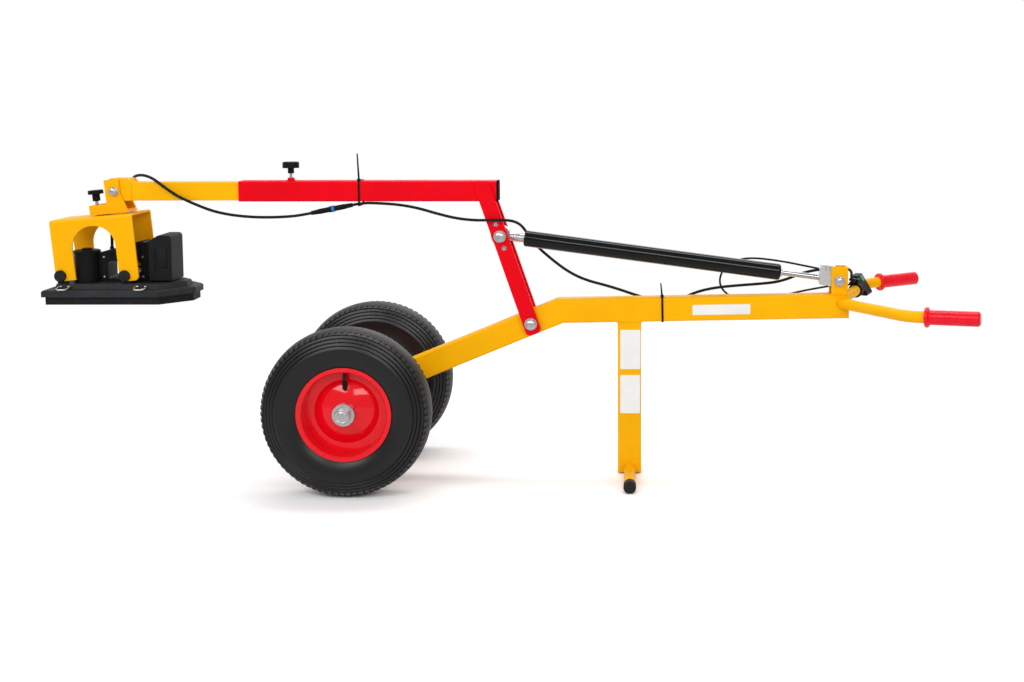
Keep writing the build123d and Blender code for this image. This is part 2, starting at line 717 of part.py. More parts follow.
def boom():
    """Link plates, outer tube with its clamp boss, end plug and the link's bolts."""
    inner_y = OUTER_TUBE / 2
    outer_y = inner_y + LINK_PLATE
    strip = Pos(0, (LINK_ABOVE - LINK_BELOW) / 2) * Rectangle(LINK_WIDTH, LINK_ABOVE + LINK_BELOW)
    strip = chamfer(strip.vertices().group_by(Axis.Y)[0], LINK_CHAMFER)
    strip = chamfer(strip.vertices().group_by(Axis.Y)[-1], LINK_TOP_CHAMFER)
    holes = [(0, PIVOT_BOLT_DIAMETER), (STRUT_UP_LINK, PIVOT_BOLT_DIAMETER)]
    for step in (-SPARE_HOLE_STEP, SPARE_HOLE_STEP):
        holes.append((STRUT_UP_LINK + step, SPARE_HOLE_DIAMETER - 2 * BOLT_GAP))
    for distance, diameter in holes:
        strip -= Pos(0, distance) * Circle(diameter / 2 + BOLT_GAP)
    side_view = Pos(PIVOT_X, PIVOT_Z) * Rot(0, 0, LINK_LEAN) * strip
    keep("link_plates", slab(side_view, -outer_y, -inner_y), slab(side_view, inner_y, outer_y))

    bolts = bolt_y(PIVOT_BOLT_DIAMETER, outer_y, PIVOT_X, PIVOT_Z)
    bolts += bolt_y(PIVOT_BOLT_DIAMETER, outer_y, STRUT_FRONT_X, STRUT_FRONT_Z)
    keep("link_bolts", *bolts)

    tube = square_tube(OUTER_TUBE, OUTER_WALL, TUBE_CORNER, OUTER_START_X, OUTER_END_X)
    tube = Pos(0, 0, ARM_HEIGHT) * tube
    top = ARM_HEIGHT + OUTER_TUBE / 2
    hole = round_z(CLAMP_SCREW_DIAMETER + 2 * RUN_FIT, top - 2 * OUTER_WALL, top + CLAMP_BOSS, CLAMP_X)
    boss = round_z(CLAMP_BOSS_DIAMETER, top, top + CLAMP_BOSS, CLAMP_X)
    keep("outer_tube", tube - hole, boss - hole)

    side = OUTER_TUBE - 2 * OUTER_WALL - 2 * RUN_FIT
    end = Plane.YZ.offset(OUTER_END_X)
    plug = extrude(end * RectangleRounded(OUTER_TUBE, OUTER_TUBE, TUBE_CORNER), END_PLUG)
    plug = chamfer(plug.faces().sort_by(Axis.X)[-1].edges(), END_PLUG / 3)
    spigot = RectangleRounded(side, side, TUBE_CORNER - OUTER_WALL)
    plug += extrude(end * spigot, -PLUG_SPIGOT)
    keep("tube_end_plug", Pos(0, 0, ARM_HEIGHT) * plug)


def arm():
    """Telescopic tube with the hub that carries the head, and the clamp above it."""
    tube = square_tube(INNER_TUBE, INNER_WALL, TUBE_CORNER - OUTER_WALL, INNER_START_X, INNER_END_X)
    keep("telescopic_tube", Pos(0, 0, ARM_HEIGHT) * tube)
    half = CHEEK_GAP / 2 - FREE_GAP
    front, rear = PIN_X - HUB_FRONT, INNER_START_X
    low, high = ARM_HEIGHT - INNER_TUBE / 2, PIN_HEIGHT + HUB_TOP
    side_view = outline((front, low), (rear, low), (rear, high), (front, high))
    side_view = fillet(side_view.vertices().group_by(Axis.Y)[-1], HUB_CORNER)
    hub = slab(side_view, -half, half)
    keep("arm_hub", hub - round_y(PIN_DIAMETER + 2 * RUN_FIT, -half, half, PIN_X, PIN_HEIGHT))

    top = ARM_HEIGHT + OUTER_TUBE / 2
    foot = ARM_HEIGHT + INNER_TUBE / 2
    neck_low = top + CLAMP_RISE
    head_low = neck_low + KNOB_NECK
    keep("clamp_screw", round_z(CLAMP_SCREW_DIAMETER, foot + RUN_FIT, head_low, CLAMP_X))
    knob = star_knob(KNOB_DIAMETER, KNOB_HEIGHT, KNOB_NECK_DIAMETER, KNOB_NECK, KNOB_LOBES)
    knob = Pos(CLAMP_X, 0, neck_low) * knob
    keep("clamp_knob", knob - round_z(CLAMP_SCREW_DIAMETER, neck_low, head_low, CLAMP_X))


def star_knob(diameter, height, neck_diameter, neck, lobes):
    """Lobed knob on a round neck, standing on the origin."""
    head = Circle(diameter / 2)
    for i in range(lobes):
        turn = math.tau * (i + 0.5) / lobes
        reach = 0.62 * diameter
        head -= Pos(reach * math.cos(turn), reach * math.sin(turn)) * Circle(0.2 * diameter)
    knob = extrude(Plane.XY.offset(neck) * head, height)
    knob = chamfer(knob.faces().sort_by(Axis.Z)[-1].edges(), height / 8)
    return knob + round_z(neck_diameter, 0, neck)


def head():
    """Swivel bracket, its bolts and index plunger, and the folded frame below, tilted as they hang."""
    half = CHEEK_GAP / 2
    outer = half + CHEEK
    floor = -BRACKET_DROP
    cheek = outline(
        (-CHEEK_FRONT, BRACKET_HEAD),
        (CHEEK_REAR, BRACKET_HEAD),
        (CHEEK_REAR, -CHEEK_WAIST),
        (BRACKET_HEEL, floor),
        (-BRACKET_TOE, floor),
        (-BRACKET_TOE, floor + BRACKET_TOE_HEIGHT),
        (-CHEEK_FRONT, floor + BRACKET_TOE_HEIGHT),
    )
    bracket = slab(cheek, -outer, outer)
    length = (-2 * BRACKET_TOE, 2 * BRACKET_TOE)
    bracket -= block(length, (-half, half), (floor + BRACKET_BASE, 2 * BRACKET_HEAD))
    bracket -= round_y(PIN_DIAMETER + 2 * BOLT_GAP, -outer, outer)
    bracket -= round_z(SWIVEL_BOLT_DIAMETER + 2 * RUN_FIT, floor, floor + BRACKET_BASE)
    bracket -= round_z(PLUNGER_SLEEVE_DIAMETER + 2 * RUN_FIT, floor, floor + BRACKET_BASE, -PLUNGER_REACH)
    keep("swivel_bracket", HEAD_PLACE * bracket)

    under = FRAME_TOP - FRAME_SHEET
    bolts = bolt_y(PIN_DIAMETER, outer, 0, 0)
    stud_top = floor + BRACKET_BASE + SWIVEL_NUT
    stud = round_z(SWIVEL_BOLT_DIAMETER, under - SWIVEL_NUT, stud_top)
    hexagon = RegularPolygon(SWIVEL_NUT_FLATS / 2, 6, major_radius=False)
    collar = extrude(Plane.XY.offset(under - SWIVEL_NUT - RUN_FIT) * hexagon, SWIVEL_NUT)
    top_nut = extrude(Plane.XY.offset(floor + BRACKET_BASE) * hexagon, SWIVEL_NUT)
    bore = round_z(SWIVEL_BOLT_DIAMETER + 2 * RUN_FIT, floor - SWIVEL_WASHER, stud_top)
    washer = round_z(SWIVEL_WASHER_DIAMETER, floor - SWIVEL_WASHER + RUN_FIT, floor)
    bolts += [stud + collar, top_nut - bore, washer - bore]
    keep("head_bolts", *[HEAD_PLACE * piece for piece in bolts])

    sleeve_top = floor + PLUNGER_SLEEVE_LENGTH
    sleeve = round_z(PLUNGER_SLEEVE_DIAMETER, floor, sleeve_top, -PLUNGER_REACH)
    hexagon = RegularPolygon(PLUNGER_NUT_FLATS / 2, 6, major_radius=False)
    nut = extrude(Plane.XY.offset(sleeve_top - PLUNGER_NUT) * hexagon, PLUNGER_NUT)
    sleeve += Pos(-PLUNGER_REACH, 0, 0) * nut
    sleeve -= round_z(PLUNGER_PIN_DIAMETER + 2 * RUN_FIT, floor, sleeve_top, -PLUNGER_REACH)
    keep("plunger_sleeve", HEAD_PLACE * sleeve)

    neck_low = sleeve_top + PLUNGER_TRAVEL + PLUNGER_REST
    knob_low = neck_low + PLUNGER_NECK
    plunger = round_z(PLUNGER_PIN_DIAMETER, FRAME_TOP + PLUNGER_LIFT, knob_low)
    knob = round_z(PLUNGER_NECK_DIAMETER, neck_low, knob_low)
    knob += round_z(PLUNGER_KNOB_DIAMETER, knob_low, knob_low + PLUNGER_KNOB)
    knob = fillet(knob.edges().filter_by(GeomType.CIRCLE).group_by(Axis.Z)[-1], PLUNGER_KNOB / 4)
    keep("index_plunger", HEAD_PLACE * Pos(-PLUNGER_REACH, 0, 0) * (plunger + knob))

    head_frame()


def head_frame():
    """Folded sheet frame with arched cheeks, carried level on two cross rods."""
    half = FRAME_WIDTH / 2
    rods = [HEAD_PLACE.inverse() * Pos(x, 0, CROSS_ROD_HEIGHT) for x in (ROD_FRONT_X, ROD_REAR_X)]
    front, rear = [place.position for place in rods]
    arch_right = ARCH_X + ARCH_DIAMETER / 2
    arch_left = ARCH_X - ARCH_DIAMETER / 2
    side_view = outline(
        (-FRAME_LEFT, FRAME_TOP),
        (FRAME_RIGHT, FRAME_TOP),
        (FRAME_RIGHT, rear.Z - LEG_TIP),
        (arch_right, rear.Z - LEG_TIP),
        (arch_right, front.Z - LEG_TIP),
        (-FRAME_LEFT, front.Z - LEG_TIP),
    )
    tips = [v for v in side_view.vertices() if v.Y < FRAME_TOP - FREE_GAP]
    inner = [v for v in tips if abs(v.X - arch_right) < FREE_GAP and abs(v.Y - front.Z + LEG_TIP) < FREE_GAP]
    rounded = [v for v in tips if v not in inner]
    side_view = fillet(rounded, LEG_TIP * 0.8)
    opening = Pos(ARCH_X, -ARCH_DROP) * Circle(ARCH_DIAMETER / 2)
    low = rear.Z - 2 * LEG_TIP
    opening += Pos(ARCH_X, (low - ARCH_DROP) / 2) * Rectangle(ARCH_DIAMETER, -ARCH_DROP - low)
    shell = slab(side_view, -half, half)
    long_edges = shell.edges().filter_by(Axis.Y, reverse=True).filter_by(Axis.X).group_by(Axis.Z)[-1]
    shell = fillet(long_edges, FRAME_BEND)
    inside = half - FRAME_SHEET
    hollow = block((-2 * FRAME_LEFT, 2 * FRAME_LEFT), (-inside, inside), (low, FRAME_TOP - FRAME_SHEET))
    hollow = fillet(hollow.edges().filter_by(Axis.X).group_by(Axis.Z)[-1], FRAME_BEND - FRAME_SHEET)
    shell = shell - hollow - slab(opening, -half, half)
    for place in (front, rear):
        shell -= round_y(CROSS_ROD_DIAMETER + 2 * RUN_FIT, -half, half, place.X, place.Z)
    shell -= round_z(SWIVEL_BOLT_DIAMETER + 2 * RUN_FIT, FRAME_TOP - 2 * FRAME_SHEET, FRAME_TOP)
    for step in (-INDEX_STEP, 0, INDEX_STEP):
        x = -PLUNGER_REACH * math.cos(math.radians(step))
        y = PLUNGER_REACH * math.sin(math.radians(step))
        shell -= round_z(PLUNGER_PIN_DIAMETER + 2 * FREE_GAP, FRAME_TOP - 2 * FRAME_SHEET, FRAME_TOP, x, y)
    keep("head_frame", HEAD_PLACE * shell)

    long = CROSS_ROD_LENGTH / 2
    bars = [round_y(CROSS_ROD_DIAMETER, -long, long, x, CROSS_ROD_HEIGHT) for x in (ROD_FRONT_X, ROD_REAR_X)]
    keep("cross_rods", *bars)
    caps = []
    for x in (ROD_FRONT_X, ROD_REAR_X):
        for side in (-1, 1):
            low, high = sorted((side * half, side * (long + ROD_CAP_WALL)))
            cap = round_y(ROD_CAP_DIAMETER, low, high, x, CROSS_ROD_HEIGHT)
            face = cap.faces().sort_by(Axis.Y)[0 if side < 0 else -1]
            cap = fillet(face.edges(), ROD_CAP_WALL * 0.8)
            caps.append(cap - round_y(CROSS_ROD_DIAMETER, -long, long, x, CROSS_ROD_HEIGHT))
    keep("rod_caps", *caps)


def flange_view(inset):
    """Plan of the suction base drawn in from its edge: square in front, tapered behind."""
    left = FLANGE_FRONT_X + inset
    right = FLANGE_FRONT_X + FLANGE_LENGTH - inset
    half = FLANGE_WIDTH / 2 - inset
    cut = FLANGE_TAPER - inset * (2 - math.sqrt(2))
    return outline(
        (left, -half),
        (right - cut, -half),
        (right, -half + cut),
        (right, half - cut),
        (right - cut, half),
        (left, half),
    )


def vacuum_unit():
    """Battery suction unit: base, seal, pump can, body with handle, battery, button and lashing rings."""
    top = FLANGE_BOTTOM + FLANGE_THICK
    base = extrude(Plane.XY.offset(FLANGE_BOTTOM) * flange_view(0), FLANGE_THICK)
    base = chamfer(base.faces().sort_by(Axis.Z)[-1].edges(), FLANGE_CHAMFER)
    base += extrude(Plane.XY.offset(top) * flange_view(STEP_INSET), STEP_HEIGHT, taper=STEP_DRAFT)
    lug_bore = CROSS_ROD_DIAMETER + 2 * RUN_FIT
    for x in (ROD_FRONT_X, ROD_REAR_X):
        for side in (-1, 1):
            middle = side * LUG_SPREAD / 2
            lug = block(
                (x - LUG_WIDTH / 2, x + LUG_WIDTH / 2),
                (middle - LUG_WIDTH / 3, middle + LUG_WIDTH / 3),
                (top - LUG_SINK, CROSS_ROD_HEIGHT),
            )
            lug += round_y(LUG_WIDTH, middle - LUG_WIDTH / 3, middle + LUG_WIDTH / 3, x, CROSS_ROD_HEIGHT)
            base += lug - round_y(lug_bore, -FLANGE_WIDTH, FLANGE_WIDTH, x, CROSS_ROD_HEIGHT)
    ring_y = FLANGE_WIDTH / 2 - STEP_INSET
    ring_z = DECK - RING_WIRE / 2 - RING_BELOW_DECK
    for x in (RING_FRONT_X, RING_REAR_X):
        for side in (-1, 1):
            middle = side * (ring_y + RING_WIRE / 2)
            outer = middle + side * (RING_WIRE / 2 + RING_LUG_WALL)
            low, high = sorted((middle - side * RING_LUG_ROOT, outer))
            lug = block((x - RING_LUG / 2, x + RING_LUG / 2), (low, high), (top - LUG_SINK, DECK - LUG_SINK))
            base += lug
            base -= round_x(RING_WIRE + 2 * RUN_FIT, x - RING_WIDTH, x + RING_WIDTH, middle, ring_z)
    keep("unit_base", base)

    seal = flange_view(SEAL_INSET) - flange_view(SEAL_INSET + SEAL_BAND)
    keep("rubber_seal", extrude(Plane.XY.offset(FLANGE_BOTTOM) * seal, -SEAL_HEIGHT))

    can_top = DECK + CAN_HEIGHT
    can = round_z(CAN_DIAMETER, DECK, can_top - CAN_LID, CAN_X, CAN_Y)
    collar = CAN_DIAMETER + 2 * CAN_COLLAR
    can += round_z(collar, can_top - CAN_LID, can_top, CAN_X, CAN_Y)
    can += round_z(collar, DECK, DECK + 2 * CAN_LID, CAN_X, CAN_Y)
    can = chamfer(can.edges().filter_by(GeomType.CIRCLE).sort_by(Axis.Z)[-1:], CAN_CHAMFER)
    well = RELEASE_BUTTON_DIAMETER + 2 * RUN_FIT
    can -= round_z(well, can_top - RELEASE_WELL, can_top, CAN_X, CAN_Y)
    keep("motor_can", can)
    low, high = can_top - RELEASE_BUTTON_SINK, can_top + RELEASE_BUTTON_PROUD
    button = round_z(RELEASE_BUTTON_DIAMETER, low, high, CAN_X, CAN_Y)
    button = fillet(button.faces().sort_by(Axis.Z)[-1].edges(), RELEASE_BUTTON_ROUND)
    keep("release_button", button)

    unit_body()
    lashing_rings(ring_y + RING_WIRE / 2, ring_z)


def unit_body():
    """Moulded body whose sloping handle bridges a hand gap, and the battery on its rear dock."""
    half = BODY_WIDTH / 2
    side_view = outline(
        (BODY_FRONT_X, DECK),
        (BODY_FRONT_X, DECK + BODY_FRONT_HEIGHT),
        (HANDLE_FRONT_X, DECK + HANDLE_FRONT_HEIGHT),
        (HANDLE_REAR_X, DECK + HANDLE_REAR_HEIGHT),
        (BODY_REAR_X, DECK + BODY_REAR_HEIGHT),
        (BODY_REAR_X, DECK),
    )
    upper = side_view.vertices().group_by(Axis.Y)[1:]
    side_view = fillet([v for group in upper for v in group], BODY_ROUND)
    gap_low = DECK + HAND_GAP_FLOOR
    gap_top = gap_low + HAND_GAP_HEIGHT
    gap = RectangleRounded(HAND_GAP_REAR_X - HAND_GAP_FRONT_X, HAND_GAP_HEIGHT, BODY_ROUND)
    gap = Pos((HAND_GAP_FRONT_X + HAND_GAP_REAR_X) / 2, (gap_low + gap_top) / 2) * gap
    body = slab(side_view - gap, -half, half)
    edges = body.edges().filter_by(Axis.Y, reverse=True)
    body = fillet([edge for edge in edges if edge.center().Z > gap_top + RUN_FIT], HANDLE_ROUND)
    dock_end = BODY_REAR_X + DOCK_PLATE
    body += block((BODY_REAR_X, dock_end), (-half, half), (DECK, DECK + DOCK_HEIGHT))
    rail_low = DECK + DOCK_RAIL_LOW
    rail_top = rail_low + DOCK_RAIL_HEIGHT
    rail = DOCK_RAIL / 2
    neck = DOCK_NECK_WIDTH / 2
    wide = DOCK_RAIL_WIDTH / 2
    body += block((dock_end, dock_end + DOCK_RAIL), (-neck, neck), (rail_low, rail_top))
    body += block((dock_end + rail, dock_end + DOCK_RAIL), (-wide, wide), (rail_low, rail_top))
    keep("unit_body", body + gland(HEAD_CABLE[1], HEAD_CABLE[0]))

    low, top = DECK + BATTERY_LIFT, DECK + BATTERY_LIFT + BATTERY_HEIGHT
    front = dock_end + FREE_GAP
    rear = front + BATTERY_DEPTH
    edge = BATTERY_WIDTH / 2
    side_view = outline(
        (front, low), (front, top - BATTERY_SHOULDER), (front + BATTERY_SLOPE, top), (rear, top), (rear, low)
    )
    crown = side_view.vertices().group_by(Axis.Y)[-1]
    pack = slab(fillet(crown, BATTERY_CROWN), -edge, edge)
    sides = pack.faces().filter_by(Axis.Y).edges()
    pack = fillet(sides, BATTERY_EDGE)
    panel_x = (front + 0.3 * BATTERY_DEPTH, front + 0.84 * BATTERY_DEPTH)
    panel_z = (low + 0.2 * BATTERY_HEIGHT, low + 0.74 * BATTERY_HEIGHT)
    pack -= block(panel_x, (-edge, -edge + PANEL_RECESS), panel_z)
    pack -= block(panel_x, (edge - PANEL_RECESS, edge), panel_z)
    room = FREE_GAP
    slot_end = dock_end + DOCK_RAIL + room
    pack -= block((front, slot_end), (-neck - room, neck + room), (low, rail_top + room))
    pack -= block((dock_end + rail - room, slot_end), (-wide - room, wide + room), (low, rail_top + room))
    keep("battery", pack)


def lashing_rings(ring_y, ring_z):
    """Four wire D-rings lying against the flange, each hinged in a lug of the base."""
    fall = ring_z - FLANGE_BOTTOM - FLANGE_THICK - RING_WIRE / 2 - FREE_GAP
    lean = math.degrees(math.atan2(fall, RING_REACH))
    half = RING_WIDTH / 2
    bar = round_x(RING_WIRE, -half, half)
    bow = FilletPolyline(
        (-half, 0, 0), (-half, -RING_REACH, 0), (half, -RING_REACH, 0), (half, 0, 0), radius=half * 0.7
    )
    wire = sweep(Plane(bow @ 0, z_dir=bow % 0) * Circle(RING_WIRE / 2), bow)
    ring = bar + wire + [Pos(x, 0, 0) * Sphere(RING_WIRE / 2) for x in (-half, half)]
    for name, x in (("front", RING_FRONT_X), ("rear", RING_REAR_X)):
        near = Pos(x, -ring_y, ring_z) * Rot(lean, 0, 0) * ring
        far = Pos(x, ring_y, ring_z) * Rot(-lean, 0, 0) * Rot(0, 0, 180) * ring
        keep(f"lashing_ring_{name}_near", near)
        keep(f"lashing_ring_{name}_far", far)


def strut():
    """Lockable gas strut: barrel and eye on the link side, piston rod and release head on the chassis."""
    end = BARREL_START + BARREL_LENGTH
    bore = BARREL_DIAMETER - 2 * BARREL_WALL
    barrel = round_x(BARREL_DIAMETER, BARREL_START, end)
    barrel = fillet(barrel.edges().filter_by(GeomType.CIRCLE), BARREL_ROUND)
    barrel -= round_x(bore, BARREL_START + BARREL_CAP, end - GLAND_LENGTH)
    barrel -= round_x(ROD_DIAMETER + 2 * RUN_FIT, end - GLAND_LENGTH, end)
    keep("strut_barrel", STRUT_PLACE * barrel)

    half = EYE_WIDTH / 2
    eye = round_y(EYE_DIAMETER, -half, half) + round_x(EYE_NECK_DIAMETER, 0, BARREL_START)
    eye -= round_y(PIVOT_BOLT_DIAMETER + 2 * EYE_PLAY, -half, half)
    keep("barrel_eye", STRUT_PLACE * eye)

    block_start = STRUT_LENGTH - HEAD_BLOCK_START
    piston_end = end - GLAND_LENGTH - PISTON_DEPTH
    rod = round_x(ROD_DIAMETER, piston_end, block_start)
    rod += round_x(bore - 2 * RUN_FIT, piston_end - PISTON_LENGTH, piston_end)
    keep("piston_rod", STRUT_PLACE * rod)

    side = HEAD_BLOCK_WIDTH / 2
    round_end = 2 * HEAD_BLOCK_BELOW
    body = block((block_start, STRUT_LENGTH), (-side, side), (-HEAD_BLOCK_BELOW, HEAD_BLOCK_TOP / 2))
    body += round_y(round_end, -side, side, STRUT_LENGTH)
    body += block((block_start, STRUT_LENGTH - HEAD_BLOCK_STEP), (-side, side), (0, HEAD_BLOCK_TOP))
    body = fillet(body.edges().filter_by(Axis.Y).sort_by(Axis.X)[:2], HEAD_BLOCK_ROUND)
    body -= round_y(REAR_BOLT_DIAMETER + 2 * RUN_FIT, -side, side, STRUT_LENGTH)
    slot_z = (HEAD_BLOCK_TOP - SLOT_DROP - SLOT_HEIGHT / 2, HEAD_BLOCK_TOP - SLOT_DROP + SLOT_HEIGHT / 2)
    for place in SLOT_PLACES:
        along = (block_start + place, block_start + place + SLOT_WIDTH)
        body -= block(along, (-side, -side + SLOT_DEPTH), slot_z)
    keep("release_head", STRUT_PLACE * body)


def bar_frame(distance):
    """Frame on the far handlebar: X along the bar, Y outboard, Z up, measured from the beam."""
    root, corner = bar_point(BAR_ROOT, 1), bar_point(BAR_CORNER, 1)
    along = (corner - root).normalized()
    return Plane(root + along * distance, x_dir=along, z_dir=Vector(0, 0, 1) - along * along.Z)


def hand_controls():
    """Switch box with its button, and the clamp and thumb lever that pull the release cable."""
    place = bar_frame(SWITCH_ALONG)
    half = SWITCH_LENGTH / 2
    front = SWITCH_BACK - SWITCH_TOP_DEPTH
    fall = math.tan(math.radians(SWITCH_SLANT))
    knee = -SWITCH_UNDER + SWITCH_LIP
    end_view = outline(
        (SWITCH_BACK, -SWITCH_UNDER),
        (SWITCH_BACK, SWITCH_TOP),
        (front, SWITCH_TOP),
        (front - (SWITCH_TOP - knee) * fall, knee),
        (front - (SWITCH_TOP - knee) * fall, -SWITCH_UNDER),
    )
    box = extrude(Plane.YZ.offset(-half) * fillet(end_view.vertices(), SWITCH_ROUND), SWITCH_LENGTH)
    box -= round_x(BAR_DIAMETER + 2 * RUN_FIT, -half, half)
    slope = Pos(0, front, SWITCH_TOP) * Rot(-SWITCH_SLANT, 0, 0)
    button_x = (-BUTTON_WIDTH / 2, BUTTON_WIDTH / 2)
    button_z = (-BUTTON_HEIGHT - BUTTON_INSET, -BUTTON_INSET)
    room = FREE_GAP
    box -= slope * block(
        (button_x[0] - room, button_x[1] + room),
        (-SWITCH_UNDER, BUTTON_WELL),
        (button_z[0] - room, button_z[1] + room),
    )
    keep("switch_box", place * box + gland(REAR_CABLE[-2], REAR_CABLE[-1]))
    button = block(button_x, (-BUTTON_PROUD, BUTTON_WELL - BUTTON_TRAVEL - room), button_z)
    button = fillet(button.faces().sort_by(Axis.Y)[0].edges(), 1)
    keep("switch_button", place * slope * button)

    place = bar_frame(PERCH_ALONG)
    half = PERCH_LENGTH / 2
    side = PERCH_CHEEKS / 2
    perch = round_x(BAR_DIAMETER + 2 * PERCH_WALL, -half, half)
    perch += block((-half, half), (-side, side), (0, PERCH_HEIGHT))
    perch += round_x(FERRULE_DIAMETER, -half, half, FERRULE_Y, FERRULE_Z)
    perch -= round_x(BAR_DIAMETER + 2 * RUN_FIT, -half, half)
    slot = LEVER_THICK / 2 + FREE_GAP
    perch -= block((-half, half), (-slot, slot), (BAR_DIAMETER / 2 + PERCH_WALL / 2, PERCH_HEIGHT))
    perch += round_y(LEVER_PIN_DIAMETER, -side, side, 0, LEVER_PIN_HEIGHT)
    keep("lever_perch", place * perch)
    thick = LEVER_THICK / 2
    boss, tall = LEVER_BOSS, LEVER_HALF_HEIGHT
    blade = outline(
        (boss, -tall),
        (boss, tall),
        (-boss, tall),
        (-LEVER_LENGTH, LEVER_RISE + LEVER_THICK),
        (-LEVER_LENGTH, LEVER_RISE),
        (-boss, -tall),
    )
    lever = slab(fillet(blade.vertices(), LEVER_THICK * 0.4), -thick, thick)
    pad_x = (-LEVER_LENGTH, LEVER_PAD - LEVER_LENGTH)
    pad = block(pad_x, (-LEVER_PAD / 2, LEVER_PAD / 2), (LEVER_RISE, LEVER_RISE + LEVER_THICK))
    lever += fillet(pad.edges().filter_by(Axis.Z), LEVER_PAD / 4)
    lever -= round_y(LEVER_PIN_DIAMETER + 2 * RUN_FIT, -side, side)
    keep("release_lever", place * Pos(0, 0, LEVER_PIN_HEIGHT) * lever)


def tie_loop(width, height, room_y, room_z, x, z, head_y, tail):
    """Cable tie round a tube along X, with room for the cable on one side, a head and a standing tail."""
    t = TIE_THICK
    gap = 2 * RUN_FIT
    along = (x - TIE_WIDTH / 2, x + TIE_WIDTH / 2)
    inner_y = (-width / 2 - max(-room_y, 0) - gap, width / 2 + max(room_y, 0) + gap)
    inner_z = (z - height / 2 - max(-room_z, 0) - gap, z + height / 2 + max(room_z, 0) + gap)
    outer = block(along, (inner_y[0] - t, inner_y[1] + t), (inner_z[0] - t, inner_z[1] + t))
    loop = fillet(outer.edges().filter_by(Axis.X), t) - block(along, inner_y, inner_z)
    roof = inner_z[1] + t
    half = TIE_HEAD / 2
    loop += block((x - half, x + half), (head_y - half, head_y + half), (roof - t / 2, roof + half))
    top, tip = roof + tail, TIE_TIP / 2
    strip = outline((along[0], roof), (along[1], roof), (x + tip - TIE_LEAN, top), (x - tip - TIE_LEAN, top))
    return loop + slab(strip, head_y - t / 2, head_y + t / 2)


def gland(before, end):
    """Short round boss that takes up a cable's end squarely."""
    place = Plane(end, z_dir=Vector(*end) - Vector(*before))
    base_at = (Align.CENTER, Align.CENTER, Align.MIN)
    return place * Cylinder(CABLE_GLAND_DIAMETER / 2, CABLE_GLAND, align=base_at)


def cable(name, route, diameter):
    """Round cable along hand-chosen points, straight runs joined by the largest tangent arcs."""
    points = [Vector(*point) for point in route]
    radii = []
    for before, corner, after in zip(points, points[1:], points[2:]):
        turn = math.radians((corner - before).get_angle(after - corner))
        run = min((corner - before).length, (after - corner).length)
        radii.append(0.45 * run / math.tan(turn / 2))
    path = FilletPolyline(*points, radius=radii)
    tube = sweep(Plane(path @ 0, z_dir=path % 0) * Circle(diameter / 2), path)
    plain = math.pi * diameter**2 / 4 * path.length
    least, share = round(min(radii), 1), round(tube.volume / plain, 4)
    print(name, "length", round(path.length, 1), "least radius", least, "volume share", share)
    keep(name, tube)


def laid(points, lift):
    """Route moved up with the piece that carries it."""
    return [(x, y, z + lift) for x, y, z in points]


ARM_LIFT = ARM_HEIGHT - ROUTE_ARM_HEIGHT
TAIL_LIFT = TAIL_Z - ROUTE_TAIL_HEIGHT
HEAD_CABLE = [
    (-618, 14, 565), (-619, 18, 583), (-627, 36, 601), (-635, 57, 612), (-636, 74, 624), (-630, 84, 641),
    (-620, 84, 664.5),
]
ARM_CABLE = [
    (-620, 84, 664.5), (-610, 84, 688), (-598, 73, 711), (-580, 52, 729), (-558, 27, 741), (-530, 2, 744),
    (-500, -20, 738), (-474, -31, 722), (-448, -33, 703), (-420, -31, 686), (-390, -30, 673),
]
LEAD_CABLE = [
    (-390, -30, 673), (-360, -29, 660), (-320, -28.4, 650), (-280, -27.8, 644.5), (-240, -27.3, 642),
    (-205, -27, 642), (-172, -26.8, 643.4), (-142, -26.2, 646.15), (-112, -25, 652),
]
BOOM_CABLE = [
    (-12, -21, 671.5), (12, -20.04, 676.18), (45, -19.5, 676), (101, -22, 672.5), (150, -26, 664),
    (199, -31, 650), (245, -36, 639.5), (288, -40.5, 635.5), (324, -42.5, 636), (355, -40.5, 636.5),
]
BEAM_CABLE = [
    (378, -28, 633), (391, -5, 625), (402, 19, 611), (413, 33, 590), (434, 36, 562), (468, 35.5, 532),
    (500, 34.5, 507), (532, 33, 488), (566, 32, 475), (602, 31, 466), (642, 29, 454), (680, 27, 441),
    (709, 26, 432.5),
]
REAR_CABLE = [
    (709, 26, 432.5), (738, 25, 424), (770, 25, 425), (798, 24.6, 434), (826, 22.5, 447.5), (856, 17.5, 457),
    (889, 14, 463), (924, 13, 466.5), (956, 13, 469), (992, 14, 471.5), (1028, 16, 475), (1058, 19, 483),
    (1083, 21.5, 493), (1110, 23.5, 501), (1140, 26, 505.5), (1167, 29.5, 507.5), (1190, 38, 506.5),
    (1209, 55, 503), (1223, 79, 496), (1231, 105, 486), (1236, 131, 475), (1240, 157, 465.5),
    (1249, 178.5, 461.9),
]
RELEASE_CABLE = [
    (1131, 0, 511), (1100, 2, 517), (1060, 6, 525), (1020, 11, 531), (980, 17, 535), (944, 24, 533),
    (914, 30, 520), (894, 32, 498), (888, 32, 474), (897, 31, 451), (922, 29, 434), (957, 27.5, 428),
    (994, 27, 430), (1032, 27, 436), (1068, 27, 445), (1104, 27, 453), (1138, 28, 459), (1167, 33, 463),
    (1190, 47, 464.5), (1206, 71, 462), (1217, 100, 456), (1227.3, 131.6, 449.1), (1238.6, 155, 450),
]
HEAD_CABLE = laid(HEAD_CABLE, ARM_LIFT)
ARM_CABLE = laid(ARM_CABLE, ARM_LIFT)
LEAD_CABLE = laid(LEAD_CABLE, ARM_LIFT)
LINK_CABLE = laid(BOOM_CABLE, ARM_LIFT) + laid(BEAM_CABLE, TAIL_LIFT)
REAR_CABLE = laid(REAR_CABLE, TAIL_LIFT)
RELEASE_CABLE = laid(RELEASE_CABLE, TAIL_LIFT)


